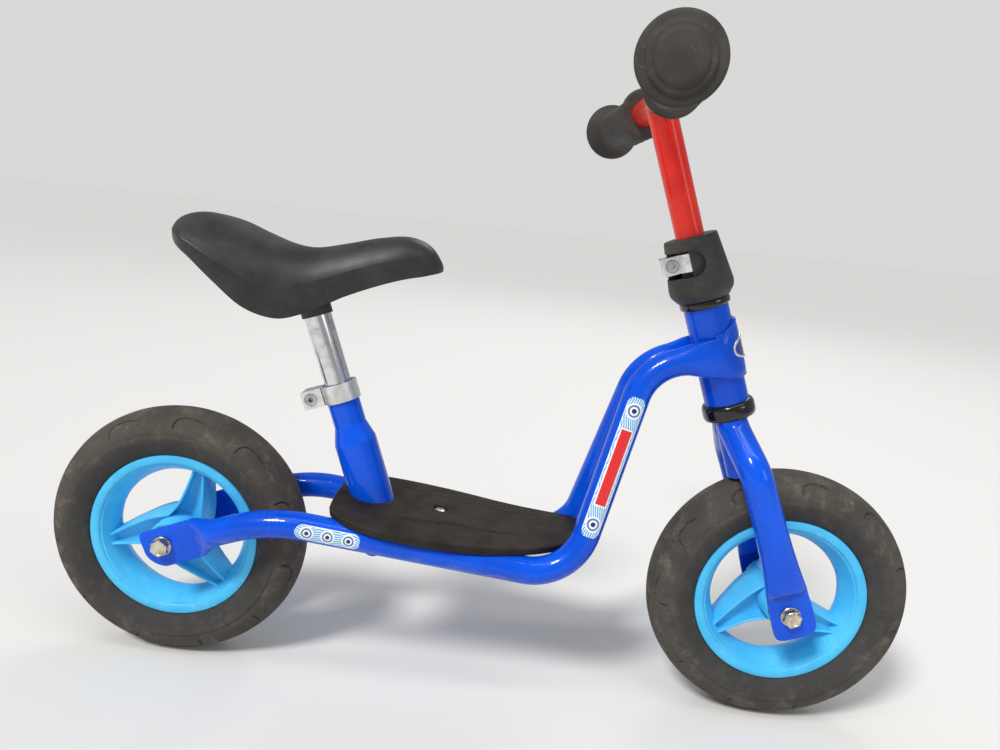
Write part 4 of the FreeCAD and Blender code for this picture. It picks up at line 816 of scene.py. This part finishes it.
def stickerFinish(name, plan):
    # printed film: slanting stripes, ringed dots, a framed bar and a white border, all a little worn
    finish = Finish(name, Coat_Weight=0.35, Coat_Roughness=0.08, Specular_IOR_Level=0.35)
    along, across, _ = finish.split(finish.place.node("TexCoord", {}, {}, output="UV"))
    wave = (along * 0.25).math("SINE") * 1.6
    stripes = ((across + wave) * 3.4).math("SINE").step(-0.15, 0.15)
    colour = stripes.blend(rgb(60, 160, 214), rgb(226, 238, 244))
    if plan["bar"]:
        box = (abs(along) - plan["bar"]).math("MAXIMUM", abs(across) - 4.3)
        colour = box.step(0.9, 1.2, 1.0, 0.0).blend(colour, rgb(240, 242, 244))
        colour = box.step(-0.15, 0.15, 1.0, 0.0).blend(colour, rgb(222, 40, 44))
    for middle in plan["rings"]:
        aside = along - middle
        away = (aside * aside + across * across).math("SQRT") / plan["ring"]
        colour = away.step(0.97, 1.03, 1.0, 0.0).blend(colour, rgb(240, 243, 246))
        band = abs(away - 0.66).step(0.1, 0.15, 1.0, 0.0)
        colour = band.blend(colour, rgb(96, 120, 168))
        colour = away.step(0.28, 0.34, 1.0, 0.0).blend(colour, rgb(24, 44, 108))
    colour = abs(across).step(plan["half"] - 0.9, plan["half"] - 0.7).blend(colour, rgb(236, 240, 244))
    worn = finish.scratches(6, 0.01, (1, 2, 0.6)) * finish.cloud(12).step(0.5, 0.62)
    grime = finish.cloud(3, detail=5.0, rough=0.7).step(0.55, 0.75)
    colour = (worn * 0.5 + grime * 0.18).blend(colour, rgb(120, 124, 132))
    finish.sets(Base_Color=colour, Roughness=finish.cloud(5) * 0.14 + 0.26 + worn * 0.3)
    finish.bump(finish.cloud(2.0, detail=3.0) * 0.3 - worn, 0.12, 0.08)
    return finish


def makeSticker(name, hand):
    plan, spread = stickers[name], stickers["spread"]
    line = tubeLine(stickers["spacing"])
    way, before, rows, marks = 0.0, line[0][0], [], []
    for spot, heading in line:
        way += (spot - before).length / mm
        before = spot
        inset = min(way - plan["from"], plan["to"] - way)
        if inset < 0:
            continue
        wide = cornered(plan["half"], plan["half"], max(inset, 0.05))
        outward = squared(left, heading)
        row = []
        for lift, order in ((stickers["lift"], 1), (stickers["sink"], -1)):
            for step in range(-spread, spread + 1):
                across = wide * order * step / spread
                radial = toward(outward, heading.cross(outward), across / frameTube["radius"])
                point = spot + radial * (frameTube["radius"] + lift) * mm
                row.append(Vector((point.x, point.y * hand, point.z)))
                marks.append((way - (plan["from"] + plan["to"]) / 2, across))
        rows.append(row)
    shell = Shell().net(rows, caps=True)
    title = name.capitalize() + ("LeftSticker" if hand > 0 else "RightSticker")
    made = shell.piece(title, "frame", stickerFinish(title, plan), crease=60, join=0)
    chart = made.data.uv_layers.new(name="Film")
    for loop in made.data.loops:
        chart.data[loop.index].uv = marks[loop.vertex_index]


for name in ("neck", "stay"):
    makeSticker(name, 1)
    makeSticker(name, -1)
print("frame made")


# Fork: two blades welded to the steerer, bent outward and crushed to plates.

blade = {
    "radius": 12.4, "bends": [(-1.5, 7.0, 154.0), (1.6, 40.0, 122.0)], "top": (-1.5, 7.0, 164.6),
    "straight": (2.4, 40.0, 106.0), "radii": [24.0, 24.0], "spacing": 2.5,
    # where the blade has widened fully above its plate: half width, half thickness, squareness
    "foot": (5.0, 40.8, 22.0), "foot half": 15.8, "foot thin": 7.8, "foot square": 2.5, "flare": 2.8,
    "flare steps": 14,
    # height along the column, rear and front edge, half thickness and squareness as it is crushed flat
    "crushed": [(20.6, -11.0, 20.9, 6.6, 2.7), (19.4, -11.1, 20.9, 4.6, 3.2), (18.4, -11.15, 20.9, 2.9, 4.5)],
    # height along the column, rear and front edge of the plate
    "plate": [(17.5, -11.2, 20.9), (12, -11.5, 21.3), (4, -11.8, 21.9), (-3, -12.0, 22.2), (-9, -12.1, 22.2),
              (-13, -12.0, 21.9), (-16.0, -11.6, 21.0), (-18.0, -10.6, 19.4), (-19.4, -8.8, 17.0),
              (-20.1, -6.2, 14.2), (-20.3, -3.4, 11.2)],
    "plate y": 40.8, "plate thick": 2.0, "plate square": 7.0, "cope": 12.6,
}


def leftBladeSections():
    spots = [blade["top"], *blade["bends"], blade["straight"]]
    line = route([column.at(*spot) for spot in spots], blade["radii"], blade["spacing"])
    sections = [roundSection(*stop, blade["radius"]) for stop in line]
    start, foot = Vector(blade["straight"]), Vector(blade["foot"])
    for step in range(blade["flare steps"]):
        share = (step + 1) / blade["flare steps"]
        flare = share ** blade["flare"]
        wide = mix(blade["radius"], blade["foot half"], flare)
        thin = mix(blade["radius"], blade["foot thin"], flare)
        sections.append(oval(column.at(*start.lerp(foot, share)), left, column.forward, thin, wide,
                             mix(2.0, blade["foot square"], flare)))
    flat = [(*edges, blade["plate thick"], blade["plate square"]) for edges in blade["plate"]]
    for height, back, front, thin, square in blade["crushed"] + flat:
        sections.append(oval(column.at((back + front) / 2, blade["plate y"], height), left, column.forward,
                             thin, (front - back) / 2, square))
    for section in sections:
        for point in section:
            # the blade is hollowed where it meets the steerer, whose bore takes the stem
            aside = (point - column.origin).dot(column.forward) / mm
            point.y = max(point.y, math.sqrt(max(0, blade["cope"] ** 2 - aside ** 2)) * mm)
    return sections


bladeSections = leftBladeSections()
for side, sections in (("Left", bladeSections), ("Right", mirrored(bladeSections))):
    Shell().net(sections, caps=True).piece(
        side + "ForkBlade", "fork", blue, [side.lower() + "_fork_blade"], crease=42)


def forkTopEdge():
    spots = []
    for degrees in range(0, 361, weld["fork step"]):
        turn = math.radians(degrees)
        radial = toward(column.forward, left, turn)
        height = weld["fork height"] + weld["fork tilt"] * math.cos(turn)
        spots.append((column.at(0, 0, height) + radial * weld["fork radius"] * mm, radial, column.along))
    return spots


bead(forkTopEdge(), "ForkTopWeld", "fork", weld["fork"])

steerer = {"radius": 12.7, "bore": 11.25, "low": 109.7, "painted": 238.0, "high": 299.0}


def makeSteerer():
    bore, outer = steerer["bore"], steerer["radius"]
    painted = [(bore, steerer["low"]), (outer, steerer["low"]), (outer, steerer["painted"])]
    bare = [(outer, steerer["painted"]), (outer, steerer["high"]), (bore, steerer["high"]),
            (bore, steerer["low"])]
    shell = Shell()
    shell.turned(column.origin, column.along, painted, closed=False)
    shell.turned(column.origin, column.along, bare, closed=False, slot=1)
    shell.piece("Steerer", "fork", [blue, black], ["fork_steerer"])


makeSteerer()
print("fork made")


# Headset: rounded glossy rings above and below the head tube, and the blank badge in front.

headset = {
    # radius and height along the column
    "Lower": [(13.0, 159.8), (18.6, 159.8), (20.2, 160.6), (20.9, 162.2), (21.05, 164.0), (20.9, 169.2),
              (20.3, 171.4), (19.0, 172.8), (17.7, 173.25), (15.0, 173.3), (15.0, 187.0), (13.0, 187.0)],
    "Upper": [(13.0, 238.4), (14.9, 238.4), (14.9, 252.2), (18.4, 252.2), (19.4, 252.7), (19.8, 253.8),
              (19.8, 256.8), (19.2, 258.1), (18.0, 258.5), (13.0, 258.5)],
}
for end, profile in headset.items():
    Shell().turned(column.origin, column.along, profile, count=120).piece(
        end + "Ring", "frame", shiny, [end.lower() + "_headset_bush"], crease=45)

badge = {
    "middle": 215.4, "half height": 9.6, "half turn": 66.0, "radius": 20.55, "segments": 96,
    # share of the way from the middle to the edge, and height
    "face": [(0.02, 0.45), (0.2, 0.45), (0.4, 0.45), (0.6, 0.45), (0.75, 0.45), (0.84, 0.45)],
    "rim": [(0.845, 0.45), (0.86, 0.75), (0.89, 0.95), (0.94, 0.95), (0.98, 0.7), (1.0, 0.25), (1.0, -0.2)],
}


def badgeFinish():
    finish = Finish("badge enamel", "badge_plate", Coat_Weight=0.8, Coat_Roughness=0.05)
    tone = finish.cloud(5, detail=3.0).step(0.3, 0.7).blend(rgb(14, 34, 120), rgb(20, 48, 150))
    worn = finish.scratches(5, 0.01, (1, 2, 1)) * 0.4
    finish.sets(Base_Color=worn.blend(tone, rgb(120, 135, 180)), Roughness=finish.cloud(3) * 0.1 + 0.2 + worn)
    finish.bump(finish.cloud(1.5) * 0.3 - worn, 0.1, 0.1)
    return finish


def badgePoint(spread, turn, lift):
    # a point of the curved oval: spread 0 is its middle and 1 its edge
    aside = math.radians(badge["half turn"]) * spread * math.cos(turn)
    height = badge["middle"] + badge["half height"] * spread * math.sin(turn)
    radial = toward(column.forward, left, aside)
    return column.at(0, 0, height) + radial * (badge["radius"] + lift) * mm


def badgeRows(stations):
    turns = circle(badge["segments"])
    return [[badgePoint(spread, turn, lift) for turn in turns] for spread, lift in stations]


def makeBadge():
    shell = Shell()
    shell.net(badgeRows(badge["face"]), caps=True)
    shell.net(badgeRows(badge["rim"]), slot=1)
    shell.piece("HeadBadge", "frame", [badgeFinish(), cast], ["head_badge"], crease=50, join=0.000001)


makeBadge()
print("headset made")


# Seat: a stuffed pad with skirts, hollow below.

saddle = {
    # place from the rear axle, half width, ridge, shoulder and hem heights
    "stations": [(-5, 41, 266.8, 257.5, 250.5), (5, 46, 268.4, 255.5, 245.5),
                 (20, 52.5, 268.2, 250.5, 238.0), (42, 55.5, 264.8, 240.0, 220.5),
                 (64, 52, 257.2, 228.5, 202.8), (86, 43.5, 250.6, 222.5, 195.6),
                 (104, 36.5, 249.2, 226.0, 200.0), (128, 30.5, 254.5, 234.5, 212.5),
                 (154, 26.5, 261.4, 244.0, 224.0), (178, 23.0, 264.4, 250.5, 232.5),
                 (196, 18.5, 258.5, 248.5, 236.5), (205.5, 15.5, 250.0, 244.0, 237.5)],
    # share of the half width, and share of the way down from ridge to shoulder
    "pad": [(0, 0), (0.25, 0.04), (0.5, 0.19), (0.72, 0.46), (0.88, 0.78)],
    # share of the half width, and share of the way down from shoulder to hem
    "skirt": [(0.965, 0.03), (1.0, 0.22), (0.99, 0.65)],
    # share of the half width, and height over the hem
    "hem": [(0.97, 0.9), (0.955, 0), (0.925, 0.3)],
    "tail round": 24.0, "nose round": 17.0, "end height": 0.55, "end fall": 0.7,
    "sections": 110, "wall": 6.0, "thickest wall": 0.4, "ceiling": 0.6,
}


def saddleSection(place):
    half, ridge, shoulder, hem = between(saddle["stations"], place)
    first, last = saddle["stations"][0][0], saddle["stations"][-1][0]
    tail = min(1, (place - first) / saddle["tail round"])
    nose = min(1, (last - place) / saddle["nose round"])
    full = math.sqrt(max(0, 1 - (1 - tail) ** 2)) * math.sqrt(max(0, 1 - (1 - nose) ** 2))
    half *= full
    middle = mix(hem, shoulder, saddle["end height"])
    rise = full ** saddle["end fall"]
    ridge, shoulder, hem = (middle + (height - middle) * rise for height in (ridge, shoulder, hem))
    drop, skirt = ridge - shoulder, shoulder - hem
    spots = [(across, ridge - down * drop) for across, down in saddle["pad"]]
    spots += [(across, shoulder - down * skirt) for across, down in saddle["skirt"]]
    spots += [(across, hem + over) for across, over in saddle["hem"]]
    wall = min(saddle["wall"], half * saddle["thickest wall"])
    inner = half * 0.93 - wall * 0.5
    ceiling = mix(hem, shoulder, saddle["ceiling"])
    under = [(inner, hem + 1.2), (inner - 0.6, mix(hem, ceiling, 0.6)), (inner * 0.85, ceiling),
             (0, ceiling + 1)]
    side = [(-spots[1][0] * half, spots[1][1])] + [(across * half, height) for across, height in spots]
    smooth = curve(side, 4)[4:] + under
    leftHalf = [rear.at(place, across, height) for across, height in smooth]
    rightHalf = [rear.at(place, -across, height) for across, height in reversed(smooth[1:-1])]
    return leftHalf + rightHalf


def makeSaddle():
    first, last = saddle["stations"][0][0], saddle["stations"][-1][0]
    rows = []
    for index in range(saddle["sections"] + 1):
        share = (1 - math.cos(math.pi * index / saddle["sections"])) / 2
        rows.append(saddleSection(mix(first + 0.02, last - 0.02, share)))
    made = Shell().net(rows, caps=True).piece("Saddle", "seat", skin, ["saddle"], crease=75)


makeSaddle()
print("saddle made")


# Handlebar: grips with finger swells, and stepped end discs.

grip = {
    # two places on the bar's middle line, and how far past the first one the grip begins
    "start": (0, 53.0, 411.7), "end": (-17.0, 166.0, 413.2), "inset": 9.0,
    # radius and way along the grip
    "profile": [(11.1, 0.3), (19.2, 0.0), (20.3, 0.6), (20.6, 1.8), (20.3, 3.0), (18.6, 4.2), (17.0, 6.4),
                (16.4, 9), (16.3, 12), (16.5, 20), (16.5, 30), (16.5, 40), (16.5, 50), (16.5, 60), (16.4, 70),
                (16.2, 80), (16.1, 88), (16.4, 93), (17.4, 97.5), (19.6, 101), (22.2, 103.2), (24.2, 104.8),
                (25.1, 106.2), (25.3, 107.6), (25.1, 109.0), (24.4, 109.8), (23.4, 110.1), (20.2, 110.3),
                (19.7, 110.5), (19.3, 111.2), (19.0, 112.4), (18.2, 113.0), (16.2, 113.2), (15.6, 113.4),
                (15.2, 114.2), (14.6, 115.2), (13.2, 115.7), (9, 116.0), (4, 116.1), (0.05, 116.1)],
    # finger swells: their height and how far they point down and to the front
    "swells": 4, "swell from": 17.0, "swell to": 84.0, "swell": 5.2, "swell low": 0.55,
    "swell front": 0.85, "swell back": 0.5, "segments": 144, "spacing": 1.3,
}


def gripProfile():
    dense = []
    for index in range(len(grip["profile"]) - 1):
        (r0, h0), (r1, h1) = grip["profile"][index], grip["profile"][index + 1]
        pieces = max(1, round(math.hypot(r1 - r0, h1 - h0) / grip["spacing"]))
        dense += [(mix(r0, r1, k / pieces), mix(h0, h1, k / pieces)) for k in range(pieces)]
    return dense + [grip["profile"][-1]]


def makeGrip(side, hand):
    start, end = Vector(grip["start"]), Vector(grip["end"])
    start.y *= hand
    end.y *= hand
    outward = column.heading(*(end - start).normalized())
    foot = column.at(*start) + outward * grip["inset"] * mm
    low, front = squared(-column.along, outward), squared(column.forward, outward)
    swellMiddle = (low * grip["swell low"] + front * grip["swell front"]).normalized()
    other = outward.cross(swellMiddle)
    rows = []
    for radius, height in gripProfile():
        share = (height - grip["swell from"]) / (grip["swell to"] - grip["swell from"])
        inside = ease(share * 8) * ease((1 - share) * 8) if 0 < share < 1 else 0
        wave = (0.5 - 0.5 * math.cos(share * grip["swells"] * 2 * math.pi)) ** 0.7
        row = []
        for turn in circle(grip["segments"]):
            facing = max(0, math.cos(turn)) ** 0.8
            grown = radius + grip["swell"] * facing * inside * wave
            grown += grip["swell back"] * inside * (1 - facing)
            row.append(foot + outward * height * mm + toward(swellMiddle, other, turn) * grown * mm)
        rows.append(row)
    Shell().net(rows).piece(side + "Grip", "handlebar_set", rubber, [side.lower() + "_grip"], crease=55)


makeGrip("Left", 1)
makeGrip("Right", -1)
print("grips made")


# Footboard: arched top with a rounded border, a skirt, a hole for the seat tube and a sunk screw.

deck = {
    # where the seat tube meets the board, from the rear axle, and how many degrees the board slopes
    "origin": (160.0, 0, 48.5), "slope": 6.1,
    # place from the seat tube and half width: the back edge, the sides and the nose
    "back": [(-26.6, 0), (-26.6, 14), (-26.3, 27)],
    "plan": [(-25.5, 37), (-24.2, 41.5), (-19, 47.5), (-10, 53.2), (2, 57.5), (16, 60.2), (36, 61.3),
             (60, 60.3), (86, 57), (110, 51.8), (130, 46), (150, 38.8), (166, 31.4), (176, 24.2),
             (180.6, 15)],
    "nose": [(181.0, 8), (181.0, 2)], "hole": 18.2, "hole centre": 0.7, "hole rim": 0.3,
    "arch": 4.5, "arch half": 64.3, "rise from": 95.0, "nose lift": 10.0,
    # the rim from its underside to the top: inset and height
    "rim": [(5.2, -7.0), (2.0, -7.0), (1.4, -6.7), (0.9, -5.0), (0.3, -2.3), (0, -1.3), (0.05, -0.9),
            (0.4, -0.45), (0.9, -0.15), (1.8, 0)],
    # place and distance from the middle of the shallow channel on each side
    "channel": [(12, 35.0), (31, 32.7), (51, 29.5), (77, 25.7), (103, 24.2), (129, 22.6), (150, 21.0)],
    "channel half": 3.4, "channel wall": 1.4, "channel depth": 1.5, "channel run-in": 22,
    "channel run-out": 40, "screw": 60.0, "sink": 6.2, "sink wall": 0.9, "sink depth": 2.4,
    # the lines that cut the top into faces, along and across: first place, spacing and count, with
    # finer ones on both sides of the screw
    "coarse": ((-22, 3, 68), (-57, 1.5, 77)), "fine": 0.6, "fine count": 11,
}
slope = math.radians(deck["slope"])
deckForward, deckUp = toward(ahead, -up, slope), toward(up, ahead, slope)
deckOrigin = rear.at(*deck["origin"])


def onDeck(x, y, z):
    return deckOrigin + (deckForward * x + left * y + deckUp * z) * mm


def deckLoops():
    # the board's plan and the seat tube's hole, each with its share of the rim's inset
    side = curve(deck["back"] + deck["plan"], 7) + deck["nose"]
    outer = side + [(x, -y) for x, y in reversed(side[1:])]
    hole = [(deck["hole centre"] + deck["hole"] * math.cos(turn), deck["hole"] * math.sin(turn))
            for turn in circle(60)]
    return ([Vector(spot) for spot in outer], 1.0), ([Vector(spot) for spot in hole], deck["hole rim"])


def topHeight(x, y):
    # the top's height over the board's level plane: arched, lifted at the nose, with a shallow
    # channel along each side and a sink round the screw
    start, stop, tip = deck["channel"][0][0], deck["channel"][-1][0], deck["nose"][0][0]
    height = -deck["arch"] * (y / deck["arch half"]) ** 2
    height += deck["nose lift"] * (max(0, x - deck["rise from"]) / (tip - deck["rise from"])) ** 2
    inside = abs(y) - between(deck["channel"], min(stop, max(start, x)))[0]
    shape = ease(1 + inside / deck["channel wall"]) if inside < 0 else 1 - ease(inside / deck["channel half"])
    ends = ease((x - start) / deck["channel run-in"]) * ease((stop - x) / deck["channel run-out"])
    height -= deck["channel depth"] * shape * ends
    away = math.hypot(x - deck["screw"], y) - deck["sink"]
    return height - deck["sink depth"] * (1 - ease((away + deck["sink wall"]) / deck["sink wall"]))


def cutAcross(mesh, direction, place):
    bmesh.ops.bisect_plane(mesh, geom=mesh.verts[:] + mesh.edges[:] + mesh.faces[:],
                           plane_co=direction * place, plane_no=direction)


def makeBoard():
    shell = Shell()
    mesh = bmesh.new()
    top = deck["rim"][-1][0]
    loops = []
    for outline, scale in deckLoops():
        count = len(outline)
        inward = []
        for index in range(count):
            along = outline[(index + 1) % count] - outline[index - 1]
            inward.append(Vector((along.y, -along.x)).normalized() * scale)
        edge = [spot + inside * top for spot, inside in zip(outline, inward)]
        shell.net([[onDeck(*(spot + inside * inset), topHeight(*inner) + height)
                    for spot, inside, inner in zip(outline, inward, edge)] for inset, height in deck["rim"]])
        verts = [mesh.verts.new((spot.x, spot.y, 0)) for spot in edge]
        loops += [mesh.edges.new((verts[k], verts[(k + 1) % count])) for k in range(count)]
    bmesh.ops.triangle_fill(mesh, use_beauty=True, use_dissolve=False, edges=loops)
    fine = range(-deck["fine count"], deck["fine count"] + 1)
    for direction, (start, spacing, count), near in zip((ahead, left), deck["coarse"], (deck["screw"], 0)):
        places = [start + spacing * k for k in range(count)]
        places += [near + deck["fine"] * k for k in fine]
        for place in places:
            cutAcross(mesh, direction, place)
    mesh.verts.index_update()
    first = len(shell.points)
    shell.points += [onDeck(v.co.x, v.co.y, topHeight(v.co.x, v.co.y)) for v in mesh.verts]
    for face in mesh.faces:
        shell.faces.append(tuple(first + v.index for v in face.verts))
        shell.slots.append(0)
    mesh.free()
    shell.piece("Footboard", "frame", board, ["footboard"], crease=50)


screw = {
    # radius and height over the board's top, from the shank to the edge of the recess
    "head": [(5.0, -3.2), (5.0, -1.9), (4.7, -1.4), (3.8, -0.9), (2.4, -0.65)],
    # share of the recess's outline, and height
    "recess": [(1.0, -0.7), (0.95, -1.9), (0.03, -2.0)], "arm": 2.1, "notch": 1.9, "segments": 72,
}


def makeScrew():
    turns = circle(screw["segments"])
    rings = [([radius for _ in turns], height) for radius, height in screw["head"]]
    cross = [screw["arm"] / (1 + screw["notch"] * math.sin(2 * turn) ** 2) for turn in turns]
    rings += [([arm * reach for arm in cross], height) for reach, height in screw["recess"]]
    middle = onDeck(deck["screw"], 0, 0)
    rows = [[middle + toward(deckForward, left, turn) * radius * mm + deckUp * height * mm
             for turn, radius in zip(turns, radii)] for radii, height in rings]
    Shell().net(rows, caps=True).piece("FootboardScrew", "frame", zinc, ["footboard_screw"], crease=40)


makeBoard()
makeScrew()
print("footboard made")


# Solids that show as they are take their finish here.

dressed = {
    "head_tube": blue, "seat_tube": blue, "seat_bridge": blue, "deck_bracket": blue,
    "seat_clamp": cast, "seat_clamp_bolt": steel, "stem_clamp": cast, "stem_clamp_bolt": steel,
    "rear_axle": zinc, "front_axle": zinc, "seat_post": chrome, "saddle_bracket": black,
    "saddle_base": black, "clamp_cover": black, "stem": red, "handlebar": red,
}
for node, finish in dressed.items():
    part = frame["nodes"][node]
    part.data.materials.clear()
    part.data.materials.append(finish.material)


# Stage: a pale floor that runs on to the horizon, soft lights and the camera.

stage = {
    "floor": (0.80, 0.795, 0.785, 1), "dull": 0.85, "shine": 0.2, "reach": 40,
    "sky": (0.96, 0.98, 1.0, 1), "sky strength": 0.36, "backdrop": (0.69, 0.69, 0.685, 1),
}


def makeFloor():
    finish = Finish("floor", Base_Color=stage["floor"], Roughness=stage["dull"],
                    Specular_IOR_Level=stage["shine"])
    reach = stage["reach"]
    mesh = bpy.data.meshes.new("Floor")
    mesh.from_pydata([(-reach, -reach, 0), (reach, -reach, 0), (reach, reach, 0), (-reach, reach, 0)], [],
                     [(0, 1, 2, 3)])
    mesh.materials.append(finish.material)
    floor = bpy.data.objects.new("Floor", mesh)
    bpy.context.scene.collection.objects.link(floor)


def makeSky():
    # lights the bike softly, and shows the camera a plain backdrop as pale as the lit floor
    world = bpy.data.worlds.new("studio")
    world.use_nodes = True
    bpy.context.scene.world = world
    tree = world.node_tree
    light, backdrop = tree.nodes["Background"], tree.nodes.new("ShaderNodeBackground")
    light.inputs["Color"].default_value = stage["sky"]
    light.inputs["Strength"].default_value = stage["sky strength"]
    backdrop.inputs["Color"].default_value = stage["backdrop"]
    seen, chosen = tree.nodes.new("ShaderNodeLightPath"), tree.nodes.new("ShaderNodeMixShader")
    for index, socket in enumerate((seen.outputs["Is Camera Ray"], light.outputs[0], backdrop.outputs[0])):
        tree.links.new(socket, chosen.inputs[index])
    tree.links.new(chosen.outputs[0], tree.nodes["World Output"].inputs["Surface"])


makeFloor()
makeSky()

lights = {
    # kind, place, size or angle, power, colour
    "Key": ("SUN", (-1.5, -2.0, 2.9), math.radians(13), 2.3, (1.0, 0.98, 0.95)),
    "Strip": ("AREA", (0.1, -0.8, 2.7), (3.0, 0.35), 14, (1.0, 1.0, 1.0)),
    "Fill": ("AREA", (2.2, -1.8, 1.5), (1.0, 1.0), 8, (0.95, 0.98, 1.0)),
    "Back": ("AREA", (0.6, 2.4, 2.4), (1.2, 1.2), 14, (1.0, 1.0, 1.0)),
}
target = (cadBox[0] + cadBox[1]) / 2
for name, (kind, spot, size, power, colour) in lights.items():
    data = bpy.data.lights.new(name, kind)
    data.energy, data.color = power, colour
    if kind == "SUN":
        data.angle = size
    else:
        data.shape = "RECTANGLE"
        data.size, data.size_y = size
    lamp = bpy.data.objects.new(name, data)
    lamp.location = spot
    lamp.rotation_euler = (target - Vector(spot)).to_track_quat("-Z", "Y").to_euler()
    bpy.context.scene.collection.objects.link(lamp)

view = {"lens": 27.247, "sensor": 36, "place": (0.01332, -0.60249, 0.39193), "turn": (78.431, -5.637, 2.001)}
lens = bpy.data.cameras.new("Camera")
lens.lens, lens.sensor_width = view["lens"], view["sensor"]
camera = bpy.data.objects.new("Camera", lens)
camera.location = view["place"]
camera.rotation_euler = [math.radians(degrees) for degrees in view["turn"]]
bpy.context.scene.collection.objects.link(camera)
bpy.context.scene.camera = camera
bpy.context.scene.view_settings.view_transform = "Standard"
